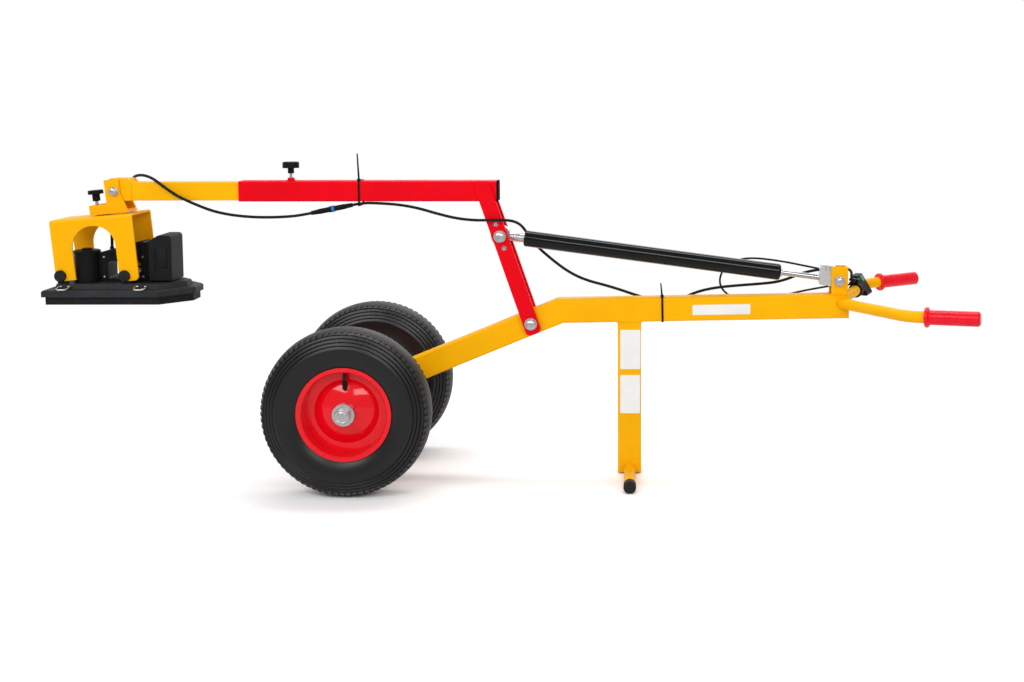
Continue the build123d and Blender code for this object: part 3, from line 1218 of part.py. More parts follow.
def cables():
    """Control cable from switch to unit in stretches, its connector, the release cable and the ties."""
    cable("cable_head", HEAD_CABLE, CABLE_DIAMETER)
    cable("cable_arm", ARM_CABLE, CABLE_DIAMETER)
    cable("cable_lead", LEAD_CABLE, CABLE_DIAMETER)
    cable("cable_link", LINK_CABLE, CABLE_DIAMETER)
    cable("cable_rear", REAR_CABLE, CABLE_DIAMETER)
    cable("release_cable", RELEASE_CABLE, RELEASE_CABLE_DIAMETER)

    start, stop = Vector(*LEAD_CABLE[-1]), Vector(*LINK_CABLE[0])
    long = (stop - start).length
    joint = CONNECTOR_SHARE * long
    boot = CABLE_DIAMETER / 2 + BOOT_WALL
    thick = boot + CONNECTOR_STEP
    half = CONNECTOR_DIAMETER / 2
    slim = half - CONNECTOR_STEP
    shoulder = BOOT_LENGTH + BOOT_SHOULDER
    plug = outline(
        (0, 0),
        (boot, 0),
        (thick, BOOT_LENGTH),
        (slim, shoulder),
        (slim, CONNECTOR_RING - CONNECTOR_STEP),
        (half, CONNECTOR_RING),
        (half, joint),
        (0, joint),
    )
    socket = outline(
        (0, joint),
        (slim, joint),
        (slim, long - shoulder),
        (thick, long - BOOT_LENGTH),
        (boot, long),
        (0, long),
    )
    place = Plane(start, z_dir=stop - start) * Rot(90, 0, 0)
    keep("cable_connector", *[place * revolve(face, Axis.Y) for face in (plug, socket)])

    place = (ARM_TIE_X, ARM_HEIGHT, ARM_TIE_HEAD_Y)
    arm_tie = tie_loop(OUTER_TUBE, OUTER_TUBE, 0, -TIE_ROOM, *place, ARM_TIE_TAIL)
    keep("arm_cable_tie", arm_tie)
    beam_tie = tie_loop(BEAM_WIDTH, BEAM_HEIGHT, TIE_ROOM, 0, 0, 0, BEAM_TIE_HEAD_Y, BEAM_TIE_TAIL)
    place = Pos(BEAM_TIE_X, 0, beam_centre(BEAM_TIE_X)) * Rot(0, -TAIL_PITCH, 0)
    keep("beam_cable_tie", place * beam_tie)


chassis()
axle()
wheel("near", -1)
wheel("far", 1)
boom()
arm()
head()
vacuum_unit()
strut()
hand_controls()
cables()

# The origin is on the floor, in the middle of the whole without its loose cables.
CABLES = (
    "cable_head", "cable_arm", "cable_lead", "cable_link", "cable_rear", "release_cable", "cable_connector",
)
firm = Compound([shape for name, shape in NODES.items() if name not in CABLES]).bounding_box()
CENTRE_SHIFT = Pos(-(firm.min.X + firm.max.X) / 2, -(firm.min.Y + firm.max.Y) / 2, -firm.min.Z)
print("centre shift", CENTRE_SHIFT.position, "size", firm.size)

os.makedirs("parts", exist_ok=True)
for name, shape in NODES.items():
    export_step(CENTRE_SHIFT * shape, f"parts/{name}.step")
print(len(NODES), "pieces")
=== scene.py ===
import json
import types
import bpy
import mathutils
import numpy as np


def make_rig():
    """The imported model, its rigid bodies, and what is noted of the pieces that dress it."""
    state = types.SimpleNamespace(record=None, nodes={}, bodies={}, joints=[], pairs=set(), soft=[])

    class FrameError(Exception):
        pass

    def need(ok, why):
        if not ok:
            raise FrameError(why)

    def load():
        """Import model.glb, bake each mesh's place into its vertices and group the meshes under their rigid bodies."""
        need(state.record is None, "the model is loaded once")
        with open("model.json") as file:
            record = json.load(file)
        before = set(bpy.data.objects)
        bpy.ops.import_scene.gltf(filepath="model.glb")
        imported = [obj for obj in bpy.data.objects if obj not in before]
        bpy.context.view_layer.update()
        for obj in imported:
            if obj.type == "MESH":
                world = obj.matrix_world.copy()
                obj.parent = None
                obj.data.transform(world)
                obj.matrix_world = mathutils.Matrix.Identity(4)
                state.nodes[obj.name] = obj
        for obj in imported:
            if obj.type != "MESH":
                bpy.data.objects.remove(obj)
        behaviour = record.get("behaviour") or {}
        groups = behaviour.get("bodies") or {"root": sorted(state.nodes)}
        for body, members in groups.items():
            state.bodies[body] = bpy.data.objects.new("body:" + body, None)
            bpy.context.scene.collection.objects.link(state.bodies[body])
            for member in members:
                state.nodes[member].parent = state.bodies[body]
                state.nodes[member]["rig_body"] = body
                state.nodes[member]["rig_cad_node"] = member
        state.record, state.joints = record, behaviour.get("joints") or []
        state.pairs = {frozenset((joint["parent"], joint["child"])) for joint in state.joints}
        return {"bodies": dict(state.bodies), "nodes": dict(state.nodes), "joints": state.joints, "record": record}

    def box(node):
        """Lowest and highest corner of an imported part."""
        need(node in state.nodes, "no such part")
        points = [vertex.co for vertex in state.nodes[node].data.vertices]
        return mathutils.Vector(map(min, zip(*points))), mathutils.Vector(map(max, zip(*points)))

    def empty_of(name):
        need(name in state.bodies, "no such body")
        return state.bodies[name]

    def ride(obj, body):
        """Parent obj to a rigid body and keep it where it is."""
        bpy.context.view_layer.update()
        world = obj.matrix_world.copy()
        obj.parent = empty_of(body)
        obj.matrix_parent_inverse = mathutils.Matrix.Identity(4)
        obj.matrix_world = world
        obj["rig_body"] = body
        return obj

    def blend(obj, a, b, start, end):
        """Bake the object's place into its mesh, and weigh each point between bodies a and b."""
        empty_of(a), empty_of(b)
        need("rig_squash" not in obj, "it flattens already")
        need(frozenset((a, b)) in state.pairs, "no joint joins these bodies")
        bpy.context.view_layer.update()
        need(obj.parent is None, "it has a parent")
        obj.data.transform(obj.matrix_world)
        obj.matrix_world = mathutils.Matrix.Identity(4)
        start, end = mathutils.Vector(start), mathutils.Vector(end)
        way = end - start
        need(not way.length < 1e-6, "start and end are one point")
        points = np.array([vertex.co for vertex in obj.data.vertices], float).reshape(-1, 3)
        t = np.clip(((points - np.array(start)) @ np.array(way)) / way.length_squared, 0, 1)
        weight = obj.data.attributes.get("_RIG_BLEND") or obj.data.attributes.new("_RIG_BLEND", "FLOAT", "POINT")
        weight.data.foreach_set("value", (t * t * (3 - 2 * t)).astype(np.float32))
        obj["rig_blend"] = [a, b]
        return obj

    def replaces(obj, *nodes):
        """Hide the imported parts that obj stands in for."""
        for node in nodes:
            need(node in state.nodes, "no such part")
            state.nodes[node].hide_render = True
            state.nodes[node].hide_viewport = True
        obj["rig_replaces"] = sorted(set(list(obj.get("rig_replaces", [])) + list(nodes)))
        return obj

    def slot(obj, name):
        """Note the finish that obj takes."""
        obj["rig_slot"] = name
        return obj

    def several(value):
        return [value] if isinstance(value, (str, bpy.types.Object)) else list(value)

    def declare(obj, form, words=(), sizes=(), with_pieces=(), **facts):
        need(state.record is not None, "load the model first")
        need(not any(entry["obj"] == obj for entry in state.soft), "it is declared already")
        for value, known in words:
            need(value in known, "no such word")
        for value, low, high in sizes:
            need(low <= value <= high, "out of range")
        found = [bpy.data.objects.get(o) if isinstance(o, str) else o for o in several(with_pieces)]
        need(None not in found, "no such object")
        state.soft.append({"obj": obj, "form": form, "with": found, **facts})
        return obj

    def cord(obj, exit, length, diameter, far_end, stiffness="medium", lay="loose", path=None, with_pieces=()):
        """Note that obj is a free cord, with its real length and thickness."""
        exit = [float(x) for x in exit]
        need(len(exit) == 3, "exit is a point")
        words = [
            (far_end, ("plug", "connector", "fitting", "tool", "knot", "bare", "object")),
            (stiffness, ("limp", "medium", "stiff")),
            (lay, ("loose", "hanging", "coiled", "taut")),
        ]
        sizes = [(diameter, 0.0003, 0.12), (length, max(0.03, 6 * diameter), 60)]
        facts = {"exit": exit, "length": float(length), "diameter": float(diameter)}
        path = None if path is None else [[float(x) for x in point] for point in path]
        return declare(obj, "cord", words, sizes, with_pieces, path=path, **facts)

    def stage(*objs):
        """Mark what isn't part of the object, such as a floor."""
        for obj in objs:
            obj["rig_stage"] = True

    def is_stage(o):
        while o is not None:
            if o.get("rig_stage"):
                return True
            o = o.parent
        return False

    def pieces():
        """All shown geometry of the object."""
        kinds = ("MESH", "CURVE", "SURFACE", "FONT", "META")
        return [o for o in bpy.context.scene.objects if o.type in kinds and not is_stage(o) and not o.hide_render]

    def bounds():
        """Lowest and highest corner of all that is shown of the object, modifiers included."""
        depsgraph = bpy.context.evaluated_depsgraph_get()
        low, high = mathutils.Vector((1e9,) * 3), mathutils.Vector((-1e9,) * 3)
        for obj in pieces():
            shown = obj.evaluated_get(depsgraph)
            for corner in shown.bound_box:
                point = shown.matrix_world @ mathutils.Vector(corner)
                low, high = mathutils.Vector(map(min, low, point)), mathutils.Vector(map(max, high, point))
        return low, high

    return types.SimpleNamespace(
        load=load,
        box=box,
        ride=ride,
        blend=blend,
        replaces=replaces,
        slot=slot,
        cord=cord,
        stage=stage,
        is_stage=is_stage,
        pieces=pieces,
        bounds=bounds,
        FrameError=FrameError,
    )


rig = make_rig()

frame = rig.load()

import json
import math
from functools import partial

import bmesh
import bpy
from bpy.props import FloatProperty, FloatVectorProperty, IntProperty, PointerProperty
from mathutils import Matrix, Vector

bl_info = {
    "name": "Vacuum tile lifter",
    "version": (1, 0, 0),
    "blender": (4, 5, 0),
    "location": "3D View > Sidebar > Tile lifter",
    "description": "Finishes a wheeled vacuum tile lifter: paint, tyres, welds, cables, labels and studio",
    "category": "Object",
}

CAD_BOX = [list(corner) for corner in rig.bounds()]
NODES = frame["nodes"]
NEAR, FAR, UP = Vector((0, -1, 0)), Vector((0, 1, 0)), Vector((0, 0, 1))
# Millimetres in a metre
MM = 1000


def middle(node):
    """Middle of a solid's box, in metres."""
    low, high = (Vector(corner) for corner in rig.box(node))
    return (low + high) / 2


# Places below are measured from the floor under the axle and moved by this. They are in metres; routes of cables and
# profiles of turned pieces are in millimetres.
AXLE = Vector((middle("axle").x, 0, 0))
AXLE_HEIGHT = middle("axle").z


def at(x, y, z):
    """Point measured from the axle, in the frame of the whole."""
    return AXLE + Vector((x, y, z))


def linear(code):
    """sRGB hex code as a linear colour."""
    parts = [int(code[i:i + 2], 16) / 255 for i in (1, 3, 5)]
    return [c / 12.92 if c <= 0.04045 else ((c + 0.055) / 1.055) ** 2.4 for c in parts] + [1.0]


def colour(name, words, code):
    """Colour property with its default given as a hex code."""
    return FloatVectorProperty(
        name=name, description=words, subtype="COLOR", size=4, min=0, max=1, default=linear(code)
    )


def length(name, words, metres):
    """Length property in metres."""
    return FloatProperty(name=name, description=words, default=metres, min=0, unit="LENGTH", precision=4)


class LIFTER_Finish(bpy.types.PropertyGroup):
    """Colours of the finishes."""

    yellow: colour("Yellow", "Powder coat of beam, stand, arm and head", "#FBB404")
    red: colour("Red", "Powder coat of boom, link and rims", "#EA0318")
    grip: colour("Grip", "Moulded hand grips", "#EE0A24")
    green: colour("Button", "Start button on the switch box", "#128A62")
    blue: colour("Ring", "Locking ring of the cable connector", "#1F6FC4")
    label: colour("Label", "Blank vinyl labels", "#EFEFEC")


class LIFTER_Sizes(bpy.types.PropertyGroup):
    """Sizes of the added detail."""

    bead: length("Weld bead", "Half width of a weld bead", 0.0020)
    bead_pitch: length("Weld pitch", "Distance between two weld ripples", 0.0018)
    label_film: length("Label film", "Thickness of the label film", 0.00025)
    label_corner: length("Label corner", "Corner radius of the labels", 0.0025)
    tread_count: IntProperty(name="Tread blocks", description="Blocks in one row of tread", default=80, min=12)
    tread_block: length("Tread block", "Length of a tread block round the tyre", 0.0092)
    cable: length("Control cable", "Outside diameter of the control cable", 0.007)
    release: length("Release cable", "Outside diameter of the release cable", 0.005)
    screw: length("Screw", "Head diameter of the cover screws", 0.0062)


def link_object(name, data):
    """Puts new data into the scene as an object at the origin."""
    made = bpy.data.objects.new(name, data)
    bpy.context.scene.collection.objects.link(made)
    return made


def add(tree, kind, feeds=None, stops=(), **settings):
    """Adds one node: settings are its properties, stops fill its colour ramp, and feeds go into its sockets.

    A feed is a value, a socket, or a node, which gives its first output.
    """
    made = tree.nodes.new(kind)
    for key, value in settings.items():
        setattr(made, key, value)
    if stops:
        row = made.color_ramp.elements
        while len(row) < len(stops):
            row.new(0.5)
        for element, (position, value) in zip(row, stops):
            element.position = position
            element.color = value
    for key, value in (feeds or {}).items():
        if isinstance(value, bpy.types.Node):
            value = value.outputs[0]
        if isinstance(value, bpy.types.NodeSocket):
            tree.links.new(value, made.inputs[key])
        else:
            made.inputs[key].default_value = value
    return made


# Noise keeps mostly between these values.
NOISE_SPAN = (0.35, 0.65)


def per_mm(size):
    """Texture scale that gives features of this many millimetres."""
    return MM / size


def shades(value, low, high, start=0.3, stop=0.7):
    """Colour stops from a darker to a lighter shade of a colour."""
    ends = (start, low), (stop, high)
    return [(place, [min(1.0, c * factor) for c in value[:3]] + [1.0]) for place, factor in ends]


def bare_tree(owner):
    """Node tree of a new material or world, emptied."""
    owner.use_nodes = True
    owner.node_tree.nodes.clear()
    return owner.node_tree


def surface(name, constants, tint=None, gloss=None, relief=()):
    """Material with one shader: constants on its sockets, and features that follow patterns.

    tint is (pattern, colour stops). gloss is (pattern, low, high) of the roughness, with the span of a pattern that
    isn't plain noise. relief lists (pattern, strength, depth in mm) from the bottom up. A pattern is plain noise, as
    (size of features in mm, detail, roughness), or a function that draws it.
    """
    material = bpy.data.materials.new(name)
    tree = bare_tree(material)
    place = add(tree, "ShaderNodeTexCoord").outputs["Object"]
    shader, drawn = dict(constants), {}

    def draw(pattern):
        """A pattern, drawn once in a material."""
        if pattern not in drawn and callable(pattern):
            drawn[pattern] = pattern(tree, place, draw)
        elif pattern not in drawn:
            size, detail, rough = pattern
            feeds = {"Vector": place, "Scale": per_mm(size), "Detail": detail, "Roughness": rough}
            drawn[pattern] = add(tree, "ShaderNodeTexNoise", feeds)
        return drawn[pattern]

    if tint:
        pattern, stops = tint
        shader["Base Color"] = add(tree, "ShaderNodeValToRGB", {"Fac": draw(pattern)}, stops)
    if gloss:
        pattern, low, high, *span = gloss
        start, stop = span or NOISE_SPAN
        feeds = {"Value": draw(pattern), "From Min": start, "From Max": stop, "To Min": low, "To Max": high}
        shader["Roughness"] = add(tree, "ShaderNodeMapRange", feeds)
    for pattern, strength, depth in relief:
        feeds = {"Height": draw(pattern), "Strength": strength, "Distance": depth / MM}
        if "Normal" in shader:
            feeds["Normal"] = shader["Normal"]
        shader["Normal"] = add(tree, "ShaderNodeBump", feeds)
    add(tree, "ShaderNodeOutputMaterial", {"Surface": add(tree, "ShaderNodeBsdfPrincipled", shader)})
    return material


def powder_coat(name, value):
    """Powder coat baked on steel: even satin colour, faint orange peel and a few duller patches."""
    # The peel of a real coat is about 1 mm across; it is drawn at 2.2 mm so that it shows.
    return surface(
        name, {"Specular IOR Level": 0.07},
        tint=((120, 4, 0.5), shades(value, 0.93, 1.04)),
        gloss=((26, 5, 0.6), 0.34, 0.46),
        relief=[((2.2, 2, 0.5), 0.18, 0.25)],
    )


def wet_paint(name, value):
    """Sprayed enamel on pressed steel: strong colour under a wet, mirror-like gloss."""
    clouds = (60, 3, 0.5)
    return surface(
        name, {"Specular IOR Level": 0.06, "Coat Weight": 0.9, "Coat Roughness": 0.06},
        tint=(clouds, shades(value, 0.94, 1.04)),
        gloss=(clouds, 0.22, 0.32),
        relief=[((22, 1, 0.5), 0.03, 0.15)],
    )


def zinc(name, cool="#C6CBD0", plain="#DDDEDF", warm="#E3DFD4"):
    """Zinc-plated steel: pale grey metal with cloudy bluish and warm patches and fine turning marks."""
    grain = (1.1, 4, 0.7)
    return surface(
        name, {"Metallic": 1.0},
        tint=((9, 4, 0.6), [(0.3, linear(cool)), (0.5, linear(plain)), (0.72, linear(warm))]),
        gloss=(grain, 0.27, 0.42),
        relief=[(grain, 0.15, 0.08)],
    )


def grinding_rings(tree, place, draw):
    """Fine rings round the strut's rod, which lies nearly along X."""
    squeezed = add(tree, "ShaderNodeMapping", {"Vector": place, "Scale": (12, 1, 1)})
    feeds = {"Vector": squeezed, "Scale": per_mm(8), "Detail": 3, "Roughness": 0.5}
    return add(tree, "ShaderNodeTexNoise", feeds)


def hard_chrome(name):
    """Ground and chromed rod: mirror-bright with faint rings left by grinding."""
    return surface(name, {"Metallic": 1.0, "Base Color": linear("#C3C4C6")}, gloss=(grinding_rings, 0.08, 0.18))


def cutter_lines(tree, place, draw):
    """Straight, slightly wavy lines left by a milling cutter."""
    feeds = {"Vector": place, "Scale": per_mm(9), "Distortion": 1.5, "Detail": 2.0}
    return add(tree, "ShaderNodeTexWave", feeds, bands_direction="Z").outputs["Fac"]


def milled_aluminium(name):
    """Milled aluminium: light grey, blasted to a matt satin, with fine straight cutter lines."""
    return surface(
        name, {"Metallic": 1.0},
        tint=(cutter_lines, [(0.0, linear("#D9DBDE")), (1.0, linear("#EAEBED"))]),
        gloss=(cutter_lines, 0.48, 0.60, 0, 1),
        relief=[(cutter_lines, 0.12, 0.05)],
    )


def gloss_enamel(name, code):
    """Baked black enamel on drawn tube: deep colour, sharp reflections, a trace of dust."""
    dust = (40, 6, 0.65)
    return surface(
        name, {"Specular IOR Level": 0.1, "Coat Weight": 0.4, "Coat Roughness": 0.03},
        tint=(dust, shades(linear(code), 1, 2.2, 0.45, 0.8)),
        gloss=(dust, 0.07, 0.16),
        relief=[((3, 2, 0.5), 0.05, 0.1)],
    )


def moulded_plastic(name, code, grain=0.9, rough=(0.38, 0.52), strength=0.35):
    """Injection-moulded ABS: matt black with an even spark-eroded grain."""

    def eroded(tree, place, draw):
        """Grain of the tool; it is about 0.2 mm and is drawn coarser so that it shows."""
        return add(tree, "ShaderNodeTexVoronoi", {"Vector": place, "Scale": per_mm(grain)})

    return surface(
        name, {"Specular IOR Level": 0.12},
        tint=((35, 3, 0.5), shades(linear(code), 0.85, 1.25, stop=0.75)),
        gloss=(eroded, *rough, 0.1, 0.7),
        relief=[(eroded, strength, 0.06)],
    )


def polyethylene(name):
    """Moulded polyethylene: black, waxy and matt, with hardly any shine."""
    return surface(
        name, {"Specular IOR Level": 0.04, "Base Color": linear("#101011")}, gloss=((6, 3, 0.5), 0.74, 0.86)
    )


def soft_rubber(name, code="#1B1B1C", bloom="#2E2E2F"):
    """Moulded rubber: dull black with a grey bloom and a soft, slightly uneven skin."""
    chalk = (18, 6, 0.7)
    return surface(
        name, {"Specular IOR Level": 0.2},
        tint=(chalk, [(0.35, linear(code)), (0.8, linear(bloom))]),
        gloss=(chalk, 0.55, 0.75),
        relief=[((1.6, 3, 0.5), 0.25, 0.12)],
    )


# Radii between which a tyre's side wall passes into its tread, and the pitch of its rings
TREAD_EDGE, RING_PITCH = (0.186, 0.198), 0.005


def wheel_radius(tree, place, draw):
    """Distance from the wheels' axis."""
    local = add(tree, "ShaderNodeMapping", {"Vector": place, "Location": (-AXLE.x, 0, -AXLE_HEIGHT)})
    axes = add(tree, "ShaderNodeSeparateXYZ", {"Vector": local}).outputs
    flat = add(tree, "ShaderNodeCombineXYZ", {"X": axes["X"], "Z": axes["Z"]})
    return add(tree, "ShaderNodeVectorMath", {0: flat}, operation="LENGTH").outputs["Value"]


def tread_dust(tree, place, draw):
    """Dust that sits on the tread and leaves the side wall clean."""
    start, stop = TREAD_EDGE
    tread = add(tree, "ShaderNodeMapRange", {"Value": draw(wheel_radius), "From Min": start, "From Max": stop})
    return add(tree, "ShaderNodeMath", {0: draw((14, 6, 0.7)), 1: tread}, operation="MULTIPLY")


def mould_rings(tree, place, draw):
    """Ring marks left by the mould on the side wall."""
    turns = add(tree, "ShaderNodeMath", {0: draw(wheel_radius), 1: math.tau / RING_PITCH}, operation="MULTIPLY")
    return add(tree, "ShaderNodeMath", {0: turns}, operation="SINE")


def tyre_rubber(name):
    """Vulcanised tyre: dark grey-black, waxy gloss on the side wall, dusty and fine-grooved on the tread."""
    return surface(
        name, {"Specular IOR Level": 0.4},
        tint=(tread_dust, [(0.0, linear("#18181A")), (0.45, linear("#272727")), (0.8, linear("#3A3937"))]),
        gloss=(tread_dust, 0.33, 0.58, 0.1, 0.6),
        relief=[(mould_rings, 0.06, 0.1), ((1.8, 4, 0.5), 0.22, 0.15)],
    )


def vinyl(name, value):
    """Printed vinyl film left blank: near white, low sheen, faint waves where it was smoothed down."""
    clouds = (30, 3, 0.5)
    return surface(
        name, {"IOR": 1.46},
        tint=(clouds, shades(value, 0.96, 1.02)),
        gloss=(clouds, 0.32, 0.44),
        relief=[((12, 2, 0.5), 0.12, 0.1)],
    )


def bright_plastic(name, value):
    """Coloured moulded plastic: strong colour, satin gloss and a very fine grain."""
    clouds = (45, 3, 0.5)
    return surface(
        name, {"Specular IOR Level": 0.25, "Coat Weight": 0.1},
        tint=(clouds, shades(value, 0.92, 1.05)),
        gloss=(clouds, 0.26, 0.36),
        relief=[((1.4, 2, 0.5), 0.12, 0.1)],
    )


def finish(name, make, *values):
    """The material of this name, made once."""
    return bpy.data.materials.get(name) or make(name, *values)


def coat(tone):
    """Powder coat in the scene's yellow or red."""
    return finish(f"powder_coat_{tone}", powder_coat, getattr(bpy.context.scene.lifter_finish, tone))


# Finishes of knobs and housings, of caps and inner tubes, and of bolts, axle, hubs and rings
black_abs = partial(finish, "moulded_abs_black", moulded_plastic, "#131315")
rubber = partial(finish, "moulded_rubber", soft_rubber)
plated = partial(finish, "zinc_plated_steel", zinc)


def dress(material, *names):
    """Gives solids of the frame a finish."""
    for name in names:
        NODES[name].data.materials.clear()
        NODES[name].data.materials.append(material)


def smooth(mesh, angle=35):
    """Shades a mesh smooth and keeps its edges sharp past an angle."""
    mesh.polygons.foreach_set("use_smooth", [True] * len(mesh.polygons))
    mesh.set_sharp_from_angle(angle=math.radians(angle))


def settle(name, form, material):
    """Turns a form into an object, with its faces outward and one finish."""
    bmesh.ops.recalc_face_normals(form, faces=form.faces)
    mesh = bpy.data.meshes.new(name)
    form.to_mesh(mesh)
    form.free()
    smooth(mesh)
    mesh.materials.append(material)
    return link_object(name, mesh)


def solid(name, build, material, body, slot):
    """Makes a piece with bmesh, merges its points and lets it ride on a body."""
    form = bmesh.new()
    build(form)
    bmesh.ops.remove_doubles(form, verts=form.verts, dist=1e-6)
    made = settle(name, form, material)
    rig.ride(made, body)
    if slot:
        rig.slot(made, slot)


def blocks(name, boxes, material, body, slot):
    """Piece of boxes with rounded edges, each (centre from the axle, size, edge radius)."""

    def build(form):
        for centre, size, radius in boxes:
            spot = Matrix.Translation(at(*centre)) @ Matrix.Diagonal((*size, 1))
            made = bmesh.ops.create_cube(form, size=1, matrix=spot)["verts"]
            edges = list(dict.fromkeys(edge for vert in made for edge in vert.link_edges))
            bmesh.ops.bevel(form, geom=edges, offset=radius, segments=3, profile=0.5, affect="EDGES")

    solid(name, build, material, body, slot)


def spokes(axis, steps, side=None):
    """Directions round an axis, from a given side or any."""
    side = side or axis.orthogonal().normalized()
    other = axis.cross(side)
    turns = [math.tau * i / steps for i in range(steps)]
    return [side * math.cos(turn) + other * math.sin(turn) for turn in turns]


def turned(name, centre, axis, profile, material, body, slot, steps):
    """Turned piece: a profile of (radius, along) points, in millimetres, spun about an axis through the centre."""
    axis = Vector(axis).normalized()

    def build(form):
        rings = []
        for out in spokes(axis, steps):
            rings.append([form.verts.new(centre + (out * r + axis * a) / MM) for r, a in profile])
        for i, ring in enumerate(rings):
            before = rings[i - 1]
            for j in range(len(profile)):
                form.faces.new((before[j - 1], before[j], ring[j], ring[j - 1]))

    solid(name, build, material, body, slot)


def inlets(tree, **sockets):
    """Gives a geometry node tree its output and its inputs, each with its kind, and returns the inputs."""
    tree.interface.new_socket("Geometry", in_out="OUTPUT", socket_type="NodeSocketGeometry")
    for title, kind in {"Geometry": "Geometry", **sockets, "Finish": "Material"}.items():
        tree.interface.new_socket(title, in_out="INPUT", socket_type="NodeSocket" + kind)
    return add(tree, "NodeGroupInput").outputs


def hand_out(tree, given, instances):
    """Ends a tree: makes its instances real and gives them their finish."""
    real = add(tree, "GeometryNodeRealizeInstances", {"Geometry": instances})
    done = add(tree, "GeometryNodeSetMaterial", {"Geometry": real, "Material": given["Finish"]})
    add(tree, "NodeGroupOutput", {"Geometry": done})


def final_mesh(source):
    """Mesh that an object comes to; the object is then removed."""
    graph = bpy.context.evaluated_depsgraph_get()
    mesh = bpy.data.meshes.new_from_object(source.evaluated_get(graph), depsgraph=graph)
    bpy.data.objects.remove(source)
    return mesh


def grow(name, mesh, plan, values, body, slot):
    """Runs a planned geometry node tree on a mesh, keeps the result as a plain mesh and lets it ride on a body."""
    tree = bpy.data.node_groups.get(plan.__name__)
    if not tree:
        tree = bpy.data.node_groups.new(plan.__name__, "GeometryNodeTree")
        plan(tree)
    source = link_object(name + "_source", mesh)
    modifier = source.modifiers.new("grow", "NODES")
    modifier.node_group = tree
    keys = {item.name: item.identifier for item in tree.interface.items_tree if item.in_out == "INPUT"}
    for title, value in values.items():
        modifier[keys[title]] = value
    result = final_mesh(source)
    result.name = name
    smooth(result)
    made = link_object(name, result)
    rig.ride(made, body)
    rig.slot(made, slot)
    return made


# A weld drop is flat along the bead and wide across it.
DROP_SHAPE = (0.8, 1.15, 1.0)


def weld_bead(tree):
    """Rippled weld bead laid along paths."""
    given = inlets(tree, Pitch="Float", Radius="Float")
    line = add(tree, "GeometryNodeMeshToCurve", {"Mesh": given["Geometry"]})
    steps = add(tree, "GeometryNodeResampleCurve", {"Curve": line, "Length": given["Pitch"]}, mode="LENGTH")
    along = add(tree, "GeometryNodeInputTangent")
    facing = add(tree, "FunctionNodeAlignRotationToVector", {"Vector": along}, axis="X")
    drop = add(tree, "GeometryNodeMeshIcoSphere", {"Radius": given["Radius"], "Subdivisions": 2})
    feeds = {"Points": steps, "Instance": drop, "Rotation": facing, "Scale": DROP_SHAPE}
    hand_out(tree, given, add(tree, "GeometryNodeInstanceOnPoints", feeds))


# Tread of a shoulder: radius and place of the inner row, fall and step to the outer one, and the lean of the blocks
TREAD_RADIUS, TREAD_ROW = 0.1932, 0.0265
TREAD_FALL, TREAD_STEP = -0.0042, 0.0078
TREAD_LEAN = math.radians(27)


def tread_rows(tree):
    """Two staggered rows of leaning tread blocks on each shoulder of a tyre, about the Y axis."""
    given = inlets(tree, Count="Int", Block="Vector")
    outward = add(tree, "GeometryNodeInputPosition")
    facing = add(tree, "FunctionNodeAlignRotationToVector", {"Vector": outward}, axis="Z", pivot_axis="Y")
    cube = add(tree, "GeometryNodeMeshCube", {"Size": given["Block"]})
    joined = add(tree, "GeometryNodeJoinGeometry")
    for side, lane in ((1, 0), (1, 1), (-1, 0), (-1, 1)):
        feeds = {"Vertices": given["Count"], "Radius": TREAD_RADIUS + lane * TREAD_FALL}
        ring = add(tree, "GeometryNodeMeshCircle", feeds)
        # The second lane is turned by half a pitch.
        stagger = add(tree, "ShaderNodeMath", {0: lane * math.pi, 1: given["Count"]}, operation="DIVIDE")
        turn = add(tree, "ShaderNodeCombineXYZ", {"X": math.pi / 2, "Y": stagger})
        upright = add(tree, "GeometryNodeTransform", {"Geometry": ring, "Rotation": turn})
        block = add(tree, "GeometryNodeTransform", {"Geometry": cube, "Rotation": (-side * TREAD_LEAN, 0, 0)})
        laid = add(tree, "GeometryNodeInstanceOnPoints", {"Points": upright, "Instance": block, "Rotation": facing})
        shift = (0, side * (TREAD_ROW + lane * TREAD_STEP), 0)
        moved = add(tree, "GeometryNodeTransform", {"Geometry": laid, "Translation": shift})
        tree.links.new(moved.outputs[0], joined.inputs[0])
    hand_out(tree, given, joined)


HEAD_SIDES = 30


def turned_heads(tree):
    """Turned heads with a recess, one on each point, along its facing and scaled from a diameter of 1 to its size."""
    given = inlets(tree, Height="Float", Top="Float", Recess="Float", Sides="Int")
    way = add(tree, "GeometryNodeInputNamedAttribute", {"Name": "facing"}, data_type="FLOAT_VECTOR")
    size = add(tree, "GeometryNodeInputNamedAttribute", {"Name": "size"}, data_type="FLOAT")
    facing = add(tree, "FunctionNodeAlignRotationToVector", {"Vector": way}, axis="Z")
    feeds = {"Vertices": HEAD_SIDES, "Radius Top": given["Top"], "Radius Bottom": 0.5, "Depth": given["Height"]}
    head = add(tree, "GeometryNodeMeshCone", feeds)
    feeds = {"Vertices": given["Sides"], "Radius": given["Recess"], "Depth": given["Height"]}
    tool = add(tree, "GeometryNodeMeshCylinder", feeds)
    lift = add(tree, "ShaderNodeCombineXYZ", {"Z": given["Height"]})
    raised = add(tree, "GeometryNodeTransform", {"Geometry": tool, "Translation": lift})
    cut = add(tree, "GeometryNodeMeshBoolean", {"Mesh 1": head, "Mesh 2": raised}, operation="DIFFERENCE")
    feeds = {"Points": given["Geometry"], "Instance": cut, "Rotation": facing, "Scale": size}
    hand_out(tree, given, add(tree, "GeometryNodeInstanceOnPoints", feeds))


